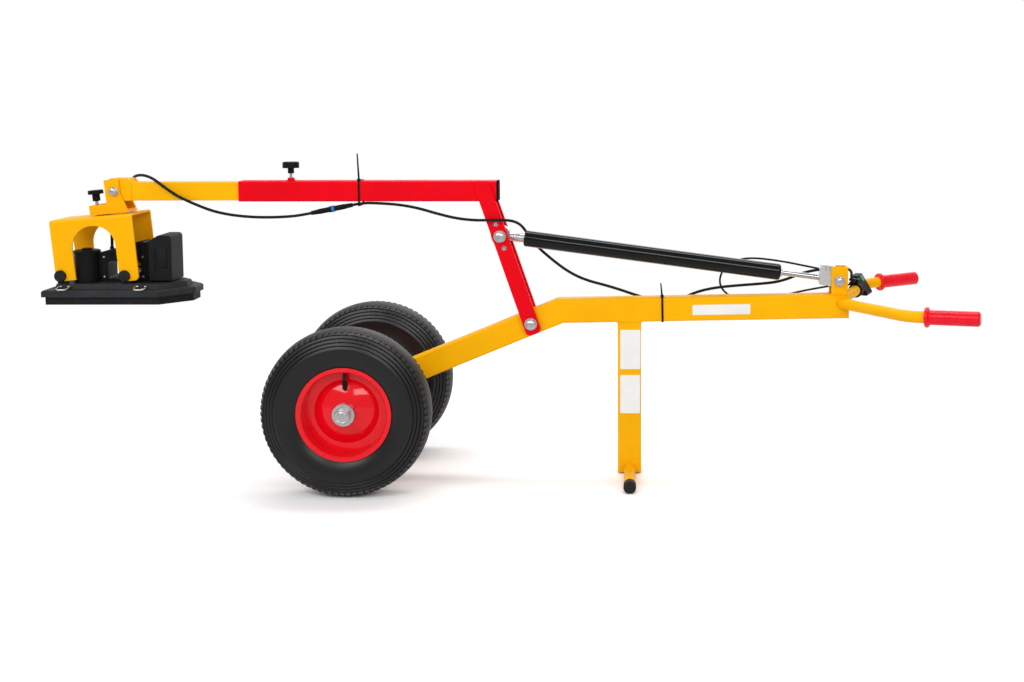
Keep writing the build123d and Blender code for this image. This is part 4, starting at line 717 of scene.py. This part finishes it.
def heads(name, spots, body, shape):
    """Turned heads of one shape on one body, from (place, facing, diameter) spots."""
    mesh = bpy.data.meshes.new(name)
    places, ways, diameters = zip(*spots)
    mesh.from_pydata(places, [], [])
    facing = mesh.attributes.new("facing", "FLOAT_VECTOR", "POINT")
    facing.data.foreach_set("vector", [part for way in ways for part in way])
    size = mesh.attributes.new("size", "FLOAT", "POINT")
    size.data.foreach_set("value", diameters)
    grow(name, mesh, turned_heads, {**shape, "Finish": plated()}, body, "zinc_steel")


class LIFTER_OT_paint(bpy.types.Operator):
    """Powder-coats the steel of chassis, boom, arm and head"""

    bl_idname = "lifter.paint"
    bl_label = "Paint the steelwork"

    def execute(self, context):
        dress(
            coat("yellow"), "chassis_beam", "rear_bracket", "stand_leg", "handlebar_near", "handlebar_far",
            "telescopic_tube", "arm_hub", "swivel_bracket", "head_frame",
        )
        dress(coat("red"), "link_plates", "outer_tube")
        dress(finish("enamel_red", wet_paint, context.scene.lifter_finish.red), "rim_near", "rim_far")
        return {"FINISHED"}


# Weld seams. Those with a side of their own are given for the far side and laid on both.
STAND_SEAM = (
    (0.635, -0.0195, 0.3806), (0.693, -0.0195, 0.3816), (0.693, 0.0195, 0.3816), (0.635, 0.0195, 0.3806),
    (0.635, -0.0195, 0.3806),
)
REAR_SEAM = ((1.160, 0.0198, 0.4492), (1.201, 0.0198, 0.4499))
LINK_SEAM = ((0.2983, 0.0253, 0.6815), (0.2832, 0.0253, 0.7255))
BAR_ROOT = (1.186, 0.018, 0.427)
BAR_WAY = (0.1107, 0.230, 0.0087)
BOSS_FOOT = (-0.166, 0, 0.7302)
# Distance of a bead on leg and beam from the middle, and the least height of a bead
FACE_BEAD, BEAD_LOW = 0.0205, 0.004
# Radii of the rings round foot tube and handlebars, axle and clamp boss
TUBE_RING, AXLE_RING, BOSS_RING = 0.0137, 0.0152, 0.0087
# The arm's seam on its hub: place along the arm, half width, bottom, top, and what a corner leaves free
HUB_SEAM, HUB_HALF, HUB_LOW, HUB_HIGH, HUB_CORNER = -0.5515, 0.0221, 0.6829, 0.7272, 0.002


def on_side(side, place):
    """Point measured from the axle, on the far side (1) or mirrored to the near side (-1)."""
    x, y, z = place
    return at(x, side * y, z)


def circle(centre, axis, radius, steps=40):
    """Closed path round an axis."""
    ring = [centre + out * radius for out in spokes(axis, steps)]
    return ring + ring[:1]


class LIFTER_OT_welds(bpy.types.Operator):
    """Lays painted weld beads where tubes and plates meet"""

    bl_idname = "lifter.welds"
    bl_label = "Lay the welds"

    def lay(self, name, paths, material, body, slot):
        """Lays beads along paths, each a list of points, as one piece."""
        points, edges = [], []
        for path in paths:
            edges += [(i - 1, i) for i in range(len(points) + 1, len(points) + len(path))]
            points += path
        mesh = bpy.data.meshes.new(name)
        mesh.from_pydata(points, edges, [])
        sizes = bpy.context.scene.lifter_sizes
        values = {"Pitch": sizes.bead_pitch, "Radius": sizes.bead, "Finish": material}
        grow(name, mesh, weld_bead, values, body, slot)

    def execute(self, context):
        foot = middle("foot_caps")
        chassis = [[at(*place) for place in STAND_SEAM]]
        for side in (-1, 1):
            face = side * FACE_BEAD
            foot_ring = circle(Vector((foot.x, face, foot.z)), NEAR, TUBE_RING)
            along = Vector((BAR_WAY[0], side * BAR_WAY[1], BAR_WAY[2])).normalized()
            bar_ring = circle(on_side(side, BAR_ROOT), along, TUBE_RING)
            chassis += [
                [p for p in foot_ring if p.z > BEAD_LOW],
                circle(at(0, face, AXLE_HEIGHT), FAR, AXLE_RING),
                [on_side(side, place) for place in REAR_SEAM],
                [p + along * ((face - p.y) / along.y) for p in bar_ring],
            ]
        self.lay("chassis_welds", chassis, coat("yellow"), "chassis", "yellow_paint")
        boom = [circle(at(*BOSS_FOOT), UP, BOSS_RING)]
        boom += [[on_side(side, place) for place in LINK_SEAM] for side in (-1, 1)]
        self.lay("boom_welds", boom, coat("red"), "boom", "red_paint")
        tall = HUB_LOW + HUB_CORNER, HUB_HIGH - HUB_CORNER
        wide = -HUB_HALF + HUB_CORNER, HUB_HALF - HUB_CORNER
        arm = [[at(HUB_SEAM, y, z) for z in tall] for y in (-HUB_HALF, HUB_HALF)]
        arm += [[at(HUB_SEAM, y, z) for y in wide] for z in (HUB_LOW, HUB_HIGH)]
        self.lay("arm_welds", arm, coat("yellow"), "arm", "yellow_paint")
        return {"FINISHED"}


# Blank labels: name, place along and up, width, height, and pitch with the beam
LABELS = (
    ("label_stand_upper", (0.6661, 0.313), 0.0493, 0.098, 0.0),
    ("label_stand_lower", (0.6655, 0.201), 0.049, 0.096, 0.0),
    ("label_beam", (0.890, 0.4125), 0.142, 0.025, math.radians(0.96)),
)
# The near face that carries them, how far the film's back lies in it, and points round an outline
LABEL_FACE, LABEL_SINK, LABEL_POINTS = -0.020, 0.00005, 24


class LIFTER_OT_labels(bpy.types.Operator):
    """Sticks blank vinyl labels on the near side of stand and beam"""

    bl_idname = "lifter.labels"
    bl_label = "Stick the labels"

    def film(self, name, place, width, height, pitch):
        """Thin film with rounded corners, its back on the near face."""
        sizes = bpy.context.scene.lifter_sizes
        corner = sizes.label_corner
        outline = []
        for i in range(LABEL_POINTS):
            turn = math.tau * i / LABEL_POINTS
            # The corner that a point belongs to is found slightly past it, off the axes.
            past = turn + 0.01
            u = math.copysign(width / 2 - corner, math.cos(past)) + corner * math.cos(turn)
            v = math.copysign(height / 2 - corner, math.sin(past)) + corner * math.sin(turn)
            outline.append((place[0] + u, place[1] + v + u * math.tan(pitch)))

        def build(form):
            """Back, front and the edge between them."""
            rows = []
            for y in (LABEL_FACE + LABEL_SINK, LABEL_FACE - sizes.label_film):
                rows.append([form.verts.new(at(x, y, z)) for x, z in outline])
                form.faces.new(rows[-1])
            back, front = rows
            for i in range(LABEL_POINTS):
                j = (i + 1) % LABEL_POINTS
                form.faces.new((back[i], back[j], front[j], front[i]))

        look = bpy.context.scene.lifter_finish.label
        solid(name, build, finish("blank_vinyl_label", vinyl, look), "chassis", None)

    def execute(self, context):
        for label in LABELS:
            self.film(*label)
        return {"FINISHED"}


# How far turned heads sink into what carries them
BITE = 0.0002
# Shapes of turned heads, in shares of their diameter
DISHED = {"Height": 0.11, "Top": 0.31, "Recess": 0.24, "Sides": 30}
SOCKET = {"Height": 0.3, "Top": 0.27, "Recess": 0.17, "Sides": 6}
BUTTON = {"Height": 0.23, "Top": 0.36, "Recess": 0.21, "Sides": 6}
# Hexagon bolts that end in a turned, dished face: body, node, diameter of the face, places along and up
BOLTS = (
    ("boom", "link_bolts", 0.0206, ((0.422, 0.37882), (0.34805, 0.59481))),
    ("chassis", "rear_bolt", 0.0180, ((1.179, 0.48278),)),
    ("bracket", "head_bolts", 0.0154, ((-0.591, 0.70602),)),
)
# Screws in the link's spare holes
SPARE_HOLES = ((0.33801, 0.62414), (0.35809, 0.56548))
SPARE_SCREW = 0.0142
# The head's lean, the height of the plunger's knob above its neck, and the sleeve of its shank as (radius, along)
HEAD_LEAN = math.radians(5)
KNOB_TO_NECK = 0.027
SHANK = ((3.9, -8.5), (4.03, -8.5), (4.03, 0), (3.9, 0))


class LIFTER_OT_hardware(bpy.types.Operator):
    """Finishes bolts, axle, hubs, rods, rings and knobs, and adds turned faces, screws and the plunger's shank"""

    bl_idname = "lifter.hardware"
    bl_label = "Finish the hardware"

    def shank(self):
        """Sleeve under the plunger's knob, along the leaning axis of the head."""
        knob = NODES["index_plunger"]
        up = Vector((-math.sin(HEAD_LEAN), 0, math.cos(HEAD_LEAN)))
        ahead = Vector((up.z, 0, -up.x))
        corners = [knob.matrix_world @ vert.co for vert in knob.data.vertices]
        across = [p.dot(ahead) for p in corners]
        neck = max(p.dot(up) for p in corners) - KNOB_TO_NECK
        foot = ahead * (min(across) + max(across)) / 2 + up * neck
        turned("plunger_shank", foot, up, SHANK, plated(), "plunger", "zinc_steel", steps=24)

    def execute(self, context):
        rings = [f"lashing_ring_{a}_{b}" for a in ("front", "rear") for b in ("near", "far")]
        dress(
            plated(), "axle", "hub_near", "hub_far", "rear_bolt", "link_bolts", "clamp_screw", "head_bolts",
            "plunger_sleeve", "cross_rods", "barrel_eye", *rings,
        )
        dress(finish("sintered_bronze", zinc, "#7C5A32", "#94703F", "#A8824C"), "pivot_bush")
        dress(black_abs(), "arm_cable_tie", "beam_cable_tie", "clamp_knob", "index_plunger")
        dress(finish("polyethylene_plug", polyethylene), "tube_end_plug")
        dress(rubber(), "foot_caps", "rod_caps")
        self.shank()
        for body, node, diameter, places in BOLTS:
            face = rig.box(node)[0][1] + BITE
            spots = [(at(x, face, z), NEAR, diameter) for x, z in places]
            heads(f"bolt_faces_{body}", spots, body, DISHED)
        low, high = (corner[1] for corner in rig.box("link_plates"))
        sides = ((low + BITE, NEAR), (high - BITE, FAR))
        spots = [(at(x, y, z), way, SPARE_SCREW) for x, z in SPARE_HOLES for y, way in sides]
        heads("link_screws", spots, "boom", SOCKET)
        return {"FINISHED"}


# Width and height of a tread block
TREAD_WIDTH, TREAD_HEIGHT = 0.0082, 0.0050
# The valve stands this far out from the middle of the tyre and up from the axle.
VALVE_OUT, VALVE_UP = 0.020, 0.066
VALVE_CAP = ((0.1, -11), (3.4, -11), (5, -9), (5.6, -2), (5.6, 10), (4.5, 11), (0.1, 11))
# A turned cap with rings covers the nut on each end of the axle, from here outward.
AXLE_END = 0.2228
AXLE_CAP = (
    (0.1, -0.3), (18, -0.3), (18, 8.5), (17.2, 10.2), (15.6, 11), (14, 11), (13, 10.3), (11.8, 10.3),
    (10.8, 11.4), (8.4, 12), (6, 11.8), (5, 10.8), (0.1, 10.6),
)


class LIFTER_OT_wheels(bpy.types.Operator):
    """Finishes the tyres and adds their tread blocks, valve caps and axle caps"""

    bl_idname = "lifter.wheels"
    bl_label = "Finish the wheels"

    def execute(self, context):
        sizes = context.scene.lifter_sizes
        tyre = finish("vulcanised_tyre", tyre_rubber)
        dress(tyre, "tyre_near", "tyre_far")
        dress(rubber(), "inner_tube_near", "inner_tube_far")
        block = (sizes.tread_block, TREAD_WIDTH, TREAD_HEIGHT)
        values = {"Count": sizes.tread_count, "Block": block, "Finish": tyre}
        for side, name in ((-1, "near"), (1, "far")):
            centre, wheel = middle(f"tyre_{name}"), f"wheel_{name}"
            empty = bpy.data.meshes.new("tread")
            made = grow(f"tread_blocks_{name}", empty, tread_rows, values, wheel, "tyre_rubber")
            made.data.transform(Matrix.Translation(centre))
            valve = Vector((centre.x, centre.y + side * VALVE_OUT, AXLE_HEIGHT + VALVE_UP))
            turned(f"valve_cap_{name}", valve, UP, VALVE_CAP, black_abs(), wheel, "black_plastic", steps=20)
            end = Vector((centre.x, side * AXLE_END, AXLE_HEIGHT))
            turned(f"axle_cap_{name}", end, FAR * side, AXLE_CAP, plated(), "chassis", "zinc_steel", steps=56)
        return {"FINISHED"}


# The strut's direction, half its barrel, and the collar where the rod leaves it
STRUT_WAY = (0.991034, 0, -0.13361)
BARREL_HALF = 0.3185
ROD_COLLAR = ((7.2, -4), (10, -4), (10, 3), (9.2, 4), (7.2, 4))


class LIFTER_OT_strut(bpy.types.Operator):
    """Finishes the gas strut and adds its rod collar"""

    bl_idname = "lifter.strut"
    bl_label = "Finish the strut"

    def execute(self, context):
        dress(finish("black_enamel", gloss_enamel, "#0C0C0D"), "strut_barrel")
        dress(finish("hard_chromed_rod", hard_chrome), "piston_rod")
        dress(finish("milled_aluminium", milled_aluminium), "release_head")
        end = middle("strut_barrel") + Vector(STRUT_WAY) * BARREL_HALF
        turned("rod_collar", end, STRUT_WAY, ROD_COLLAR, plated(), "strut_barrel", "zinc_steel", steps=32)
        return {"FINISHED"}


# Trim of the vacuum unit. Boxes are (centre, size, edge radius).
BATTERY_RIBS = (
    ((-0.4565, -0.0419, 0.539), (0.0022, 0.0016, 0.086), 0.0006),
    ((-0.4925, -0.0419, 0.539), (0.0022, 0.0016, 0.086), 0.0006),
    ((-0.4745, -0.0419, 0.545), (0.0215, 0.0016, 0.050), 0.0007),
)
PUMP_DUCT = (((-0.6355, -0.008, 0.5185), (0.014, 0.036, 0.071), 0.0025),)
CAN_FOOT = (-0.664, -0.024, 0.484)
CAN_BAND = ((29.8, 8), (30.8, 8.5), (30.8, 12.5), (29.8, 13))
COVER_SCREWS = ((-0.6215, 0.4965), (-0.6215, 0.545), (-0.5265, 0.545), (-0.5265, 0.4965))
COVER_FACE = -0.028


class LIFTER_OT_unit(bpy.types.Operator):
    """Finishes the battery vacuum unit and adds its ribs, duct, band and screws"""

    bl_idname = "lifter.unit"
    bl_label = "Finish the vacuum unit"

    def execute(self, context):
        dress(finish("moulded_base", moulded_plastic, "#303134", 1.1, (0.42, 0.58), 0.45), "unit_base")
        dress(finish("sponge_rubber", soft_rubber, "#141415", "#242425"), "rubber_seal")
        dress(black_abs(), "motor_can", "unit_body", "release_button")
        shell = finish("battery_shell", moulded_plastic, "#1B1C1E", 0.8, (0.46, 0.60), 0.3)
        dress(shell, "battery")
        blocks("battery_ribs", BATTERY_RIBS, shell, "battery", "black_plastic")
        blocks("pump_duct", PUMP_DUCT, black_abs(), "head", "black_plastic")
        turned("can_band", at(*CAN_FOOT), UP, CAN_BAND, black_abs(), "head", "black_paint", steps=64)
        spots = [(at(x, COVER_FACE, z), NEAR, context.scene.lifter_sizes.screw) for x, z in COVER_SCREWS]
        heads("cover_screws", spots, "head", BUTTON)
        return {"FINISHED"}


def route(*places):
    """Points of a cable, given in millimetres from the axle."""
    return [AXLE + Vector(place) / MM for place in places]


# The control cable in stretches, then the release cable
HEAD_ROUTE = route(
    (-618, 14, 565), (-619, 18, 583), (-627, 36, 601), (-635, 57, 612), (-636, 74, 624), (-630, 84, 641),
    (-620, 84, 664.5),
)
ARM_ROUTE = HEAD_ROUTE[-1:] + route(
    (-610, 84, 688), (-598, 73, 711), (-580, 52, 729), (-558, 27, 741), (-530, 2, 744), (-500, -20, 738),
    (-474, -31, 722), (-448, -33, 703), (-420, -31, 686), (-390, -30, 673),
)
LEAD_ROUTE = ARM_ROUTE[-1:] + route(
    (-360, -29, 660), (-320, -28.4, 650), (-280, -27.8, 644.5), (-240, -27.3, 642), (-205, -27, 642),
    (-172, -26.8, 643.4), (-142, -26.2, 646.15), (-112, -25, 652),
)
LINK_ROUTE = route(
    (-12, -21, 671.5), (12, -20.04, 676.18), (45, -19.5, 676), (101, -22, 672.5), (150, -26, 664),
    (199, -31, 650), (245, -36, 639.5), (288, -40.5, 635.5), (324, -42.5, 636), (355, -40.5, 636.5),
    (378, -28, 633), (391, -5, 625), (402, 19, 611), (413, 33, 590), (434, 36, 562), (468, 35.5, 532),
    (500, 34.5, 507), (532, 33, 488), (566, 32, 475), (602, 31, 466), (642, 29, 454), (680, 27, 441),
    (709, 26, 432.5),
)
REAR_ROUTE = LINK_ROUTE[-1:] + route(
    (738, 25, 424), (770, 25, 425), (798, 24.6, 434), (826, 22.5, 447.5), (856, 17.5, 457), (889, 14, 463),
    (924, 13, 466.5), (956, 13, 469), (992, 14, 471.5), (1028, 16, 475), (1058, 19, 483), (1083, 21.5, 493),
    (1110, 23.5, 501), (1140, 26, 505.5), (1167, 29.5, 507.5), (1190, 38, 506.5), (1209, 55, 503),
    (1223, 79, 496), (1231, 105, 486), (1236, 131, 475), (1240, 157, 465.5), (1249, 178.5, 461.9),
)
RELEASE_ROUTE = route(
    (1131, 0, 511), (1100, 2, 517), (1060, 6, 525), (1020, 11, 531), (980, 17, 535), (944, 24, 533),
    (914, 30, 520), (894, 32, 498), (888, 32, 474), (897, 31, 451), (922, 29, 434), (957, 27.5, 428),
    (994, 27, 430), (1032, 27, 436), (1068, 27, 445), (1104, 27, 453), (1138, 28, 459), (1167, 33, 463),
    (1190, 47, 464.5), (1206, 71, 462), (1217, 100, 456), (1227.3, 131.6, 449.1), (1238.6, 155, 450),
)
# Points between which a stretch gives way from one body to the next; the first lies above the head frame's top edge.
FRAME_EDGE = at(-0.6262, 0.084, 0.650)
BRACKET_TOP, ARM_TOP = ARM_ROUTE[3], ARM_ROUTE[5]
LINK_BEND = LINK_ROUTE[9], LINK_ROUTE[-2]
RELEASE_BEND = at(0.900, 0.020, 0.520), at(0.900, 0.030, 0.440)
# Steps drawn from one control point to the next, and sides of a cable's tube
CABLE_STEPS, CABLE_SIDES = 10, 14
# Locking ring of the inline connector, along it from its front end
CONNECTOR_RING = ((6.4, 50), (7.4, 50.2), (7.9, 50.8), (7.9, 57.2), (7.4, 57.8), (6.4, 58))


class LIFTER_OT_controls(bpy.types.Operator):
    """Finishes the grips, switch box and lever, and adds the connector's ring"""

    bl_idname = "lifter.controls"
    bl_label = "Finish the controls"

    def execute(self, context):
        look = context.scene.lifter_finish
        dress(finish("moulded_grip_red", bright_plastic, look.grip), "hand_grips")
        dress(black_abs(), "switch_box", "lever_perch", "release_lever", "cable_connector")
        dress(finish("moulded_button_green", bright_plastic, look.green), "switch_button")
        front, rear = LEAD_ROUTE[-1], LINK_ROUTE[0]
        blue = finish("moulded_ring_blue", bright_plastic, look.blue)
        turned("connector_ring", front, rear - front, CONNECTOR_RING, blue, "boom", None, steps=32)
        return {"FINISHED"}


def cable_line(places):
    """Points along the smooth spline that a route controls."""
    curve = bpy.data.curves.new("cable_line", "CURVE")
    curve.dimensions = "3D"
    curve.resolution_u = CABLE_STEPS
    spline = curve.splines.new("NURBS")
    spline.points.add(len(places) - 1)
    for point, place in zip(spline.points, places):
        point.co = (*place, 1)
    spline.order_u = 3
    spline.use_endpoint_u = True
    mesh = final_mesh(link_object("cable_line", curve))
    line = [vert.co.copy() for vert in mesh.vertices]
    bpy.data.curves.remove(curve)
    bpy.data.meshes.remove(mesh)
    return line


def cable_tube(name, line, diameter, material):
    """Round tube along a line, closed at both ends."""
    form = bmesh.new()
    rings = []
    ahead = (line[1] - line[0]).normalized()
    out = ahead.orthogonal().normalized()
    for i, spot in enumerate(line):
        new = (line[min(i + 1, len(line) - 1)] - line[max(i - 1, 0)]).normalized()
        out = (ahead.rotation_difference(new) @ out).normalized()
        out = (out - new * out.dot(new)).normalized()
        ahead = new
        rings.append([form.verts.new(spot + way * diameter / 2) for way in spokes(ahead, CABLE_SIDES, out)])
    for before, after in zip(rings, rings[1:]):
        for k in range(CABLE_SIDES):
            form.faces.new((before[k - 1], before[k], after[k], after[k - 1]))
    form.faces.new(rings[0][::-1])
    form.faces.new(rings[-1])
    return settle(name, form, material)


class LIFTER_OT_cables(bpy.types.Operator):
    """Lays the control cable in its stretches and the release cable"""

    bl_idname = "lifter.cables"
    bl_label = "Lay the cables"

    def lay(self, node, line, diameter, bodies, bend=None, with_pieces=()):
        """Lays one stretch; bend gives the two points between which it passes from one body to the next."""
        jacket = finish("rubber_cable_jacket", soft_rubber, "#121213", "#212122")
        piece = cable_tube("laid_" + node, line, diameter, jacket)
        if bend:
            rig.blend(piece, *bodies, start=bend[0], end=bend[1])
        else:
            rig.ride(piece, bodies[0])
        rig.slot(piece, "soft_rubber")
        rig.replaces(piece, node)
        total = sum((b - a).length for a, b in zip(line, line[1:]))
        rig.cord(
            piece, exit=line[0], length=total, diameter=diameter, far_end="object", stiffness="medium", lay="loose",
            path=line, with_pieces=with_pieces,
        )

    def execute(self, context):
        sizes = context.scene.lifter_sizes
        # The stretch through the arch turns with the frame; it gives way only above the frame's top.
        unit, arm = cable_line(HEAD_ROUTE), cable_line(ARM_ROUTE)
        top = min(range(len(arm)), key=lambda i: (arm[i] - BRACKET_TOP).length)
        head = unit + arm[1:top + 1]
        arm = arm[top:]
        self.lay("cable_head", head, sizes.cable, ("head", "bracket"), (FRAME_EDGE, arm[0]))
        self.lay("cable_arm", arm, sizes.cable, ("bracket", "arm"), (arm[0], ARM_TOP))
        plug = [NODES["cable_connector"]]
        lead = cable_line(LEAD_ROUTE)
        self.lay("cable_lead", lead, sizes.cable, ("arm", "boom"), (lead[0], lead[-1]), plug)
        self.lay("cable_link", cable_line(LINK_ROUTE), sizes.cable, ("boom", "chassis"), LINK_BEND)
        self.lay("cable_rear", cable_line(REAR_ROUTE), sizes.cable, ("chassis",))
        release = cable_line(RELEASE_ROUTE)
        self.lay("release_cable", release, sizes.release, ("strut_rod", "chassis"), RELEASE_BEND)
        return {"FINISHED"}


WHITE = (1, 1, 1, 1)
FLOOR_HALF = 14
# Tones of the floor where it is seen, where it is dimly mirrored, and where it lights the object from below
FLOOR_SEEN, FLOOR_MIRRORED, FLOOR_LIGHTING = 1.11, 0.5, 0.75
# Depths between which the mirrored floor turns white, and distances between which the seen floor does
FLOOR_BEHIND, FLOOR_FADE = (-0.6, 0.6), (1.3, 2.6)
# Surround: its light on the object, its dim near side in reflections, and where these turn white
SURROUND_LIGHT, ROOM, ROOM_EDGE = 0.60, 0.3, (-0.1, 0.5)
# Soft lamps: name, place, aim, size and power
LAMPS = (
    ("key_light", (-1.9, -2.8, 2.7), (0, 0, 0.4), (2.6, 1.1), 48),
    ("fill_light", (1.1, -3.0, 2.1), (0.1, 0, 0.4), (2.2, 0.8), 28),
    ("top_light", (0.0, 0.6, 3.4), (0, 0, 0.3), (3.2, 0.6), 38),
    ("back_light", (0.6, 3.0, 2.2), (0, 0, 0.4), (2.6, 1.4), 20),
)
# The camera fitted to the photo: lens and shift, place from the axle, and turns in degrees
CAMERA_LENS = {"lens": 43.906, "sensor_width": 36.0, "shift_x": -109 / 1024, "shift_y": -140 / 1024}
CAMERA_PLACE = (0.6541, -3.0557, 0.9442)
CAMERA_TURN = (90 - 4.965, 0.07, 0.193)


class LIFTER_OT_stage(bpy.types.Operator):
    """Builds the pale floor, the soft lights, the white surround and the camera"""

    bl_idname = "lifter.stage"
    bl_label = "Build the studio"

    def floor(self):
        """Matt pale floor that fades to white round the object."""
        form = bmesh.new()
        bmesh.ops.create_grid(form, x_segments=1, y_segments=1, size=FLOOR_HALF)
        material = bpy.data.materials.new("matt_studio_floor")
        tree = bare_tree(material)
        path = add(tree, "ShaderNodeLightPath").outputs
        place = add(tree, "ShaderNodeTexCoord").outputs["Object"]
        depth = add(tree, "ShaderNodeSeparateXYZ", {"Vector": place}).outputs["Y"]
        start, stop = FLOOR_BEHIND
        behind = add(tree, "ShaderNodeMapRange", {"Value": depth, "From Min": start, "From Max": stop})
        mirrored = add(tree, "ShaderNodeMath", {0: behind, 1: path["Is Glossy Ray"]}, operation="MULTIPLY")
        seen = add(tree, "ShaderNodeMath", {0: path["Is Camera Ray"], 1: mirrored}, operation="MAXIMUM")
        # Seen by the camera, or mirrored behind the object, the floor is lifted to white and keeps its shadows.
        # In the other reflections it is as dim as the room.
        feeds = {"Value": path["Is Glossy Ray"], "To Min": FLOOR_LIGHTING, "To Max": FLOOR_MIRRORED}
        plain = add(tree, "ShaderNodeMapRange", feeds)
        tone = add(tree, "ShaderNodeMapRange", {"Value": seen, "To Min": plain, "To Max": FLOOR_SEEN})
        card = add(tree, "ShaderNodeBsdfDiffuse", {"Color": tone})
        glow = add(tree, "ShaderNodeEmission", {"Color": WHITE})
        far = add(tree, "ShaderNodeVectorMath", {0: place}, operation="LENGTH").outputs["Value"]
        start, stop = FLOOR_FADE
        feeds = {"Value": far, "From Min": start, "From Max": stop}
        fade = add(tree, "ShaderNodeMapRange", feeds, interpolation_type="SMOOTHSTEP")
        share = add(tree, "ShaderNodeMath", {0: fade, 1: seen}, operation="MULTIPLY")
        both = add(tree, "ShaderNodeMixShader", {"Fac": share, 1: card, 2: glow})
        add(tree, "ShaderNodeOutputMaterial", {"Surface": both})
        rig.stage(settle("floor", form, material))

    def surround(self):
        """White surround that lights the object softly."""
        world = bpy.data.worlds.new("studio")
        tree = bare_tree(world)
        path = add(tree, "ShaderNodeLightPath").outputs
        feeds = {0: path["Is Camera Ray"], 1: path["Is Transmission Ray"]}
        straight = add(tree, "ShaderNodeMath", feeds, operation="MAXIMUM")
        # Reflections show the white backdrop on the far side and the dim room on the near side.
        view = add(tree, "ShaderNodeSeparateXYZ", {"Vector": add(tree, "ShaderNodeTexCoord").outputs["Generated"]})
        start, stop = ROOM_EDGE
        feeds = {"Value": view.outputs["Y"], "From Min": start, "From Max": stop, "To Min": ROOM, "To Max": 1.0}
        room = add(tree, "ShaderNodeMapRange", feeds)
        unseen = add(tree, "ShaderNodeMix", {"Factor": path["Is Glossy Ray"], "A": SURROUND_LIGHT, "B": room})
        level = add(tree, "ShaderNodeMix", {"Factor": straight, "A": unseen, "B": 1.0})
        backdrop = add(tree, "ShaderNodeBackground", {"Color": WHITE, "Strength": level})
        add(tree, "ShaderNodeOutputWorld", {"Surface": backdrop})
        bpy.context.scene.world = world

    def lamp(self, name, place, aim, size, power):
        """Soft rectangular lamp turned to its aim."""
        light = bpy.data.lights.new(name, "AREA")
        light.shape = "RECTANGLE"
        light.size, light.size_y = size
        light.energy = power
        lamp = link_object(name, light)
        lamp.location = place
        lamp.rotation_euler = (Vector(aim) - Vector(place)).to_track_quat("-Z", "Y").to_euler()

    def camera(self):
        """Camera that sees the object as the photo does."""
        lens = bpy.data.cameras.new("camera")
        for key, value in CAMERA_LENS.items():
            setattr(lens, key, value)
        camera = link_object("camera", lens)
        camera.location = at(*CAMERA_PLACE)
        camera.rotation_euler = [math.radians(turn) for turn in CAMERA_TURN]
        bpy.context.scene.camera = camera

    def execute(self, context):
        context.scene.view_settings.view_transform = "Standard"
        self.floor()
        self.surround()
        for settings in LAMPS:
            self.lamp(*settings)
        self.camera()
        return {"FINISHED"}


STEPS = (
    LIFTER_OT_paint, LIFTER_OT_welds, LIFTER_OT_labels, LIFTER_OT_hardware, LIFTER_OT_wheels, LIFTER_OT_strut,
    LIFTER_OT_unit, LIFTER_OT_controls, LIFTER_OT_cables, LIFTER_OT_stage,
)


class LIFTER_PT_panel(bpy.types.Panel):
    """Lists the finishing steps and their settings"""

    bl_label = "Tile lifter"
    bl_space_type = "VIEW_3D"
    bl_region_type = "UI"
    bl_category = "Tile lifter"

    def draw(self, context):
        for group in (context.scene.lifter_finish, context.scene.lifter_sizes):
            box = self.layout.box()
            for name in group.__annotations__:
                box.prop(group, name)
        for step in STEPS:
            self.layout.operator(step.bl_idname)


CLASSES = (LIFTER_Finish, LIFTER_Sizes, *STEPS, LIFTER_PT_panel)


def register():
    for item in CLASSES:
        bpy.utils.register_class(item)
    bpy.types.Scene.lifter_finish = PointerProperty(type=LIFTER_Finish)
    bpy.types.Scene.lifter_sizes = PointerProperty(type=LIFTER_Sizes)


def unregister():
    del bpy.types.Scene.lifter_sizes
    del bpy.types.Scene.lifter_finish
    for item in reversed(CLASSES):
        bpy.utils.unregister_class(item)


def main():
    register()
    for step in STEPS:
        group, name = step.bl_idname.split(".")
        getattr(getattr(bpy.ops, group), name)()
    bpy.context.view_layer.update()
    sizes = {"cad_box": CAD_BOX, "visual_box": [list(corner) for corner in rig.bounds()]}
    with open("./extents.json", "w") as out:
        json.dump(sizes, out)


if __name__ == "__main__":
    main()
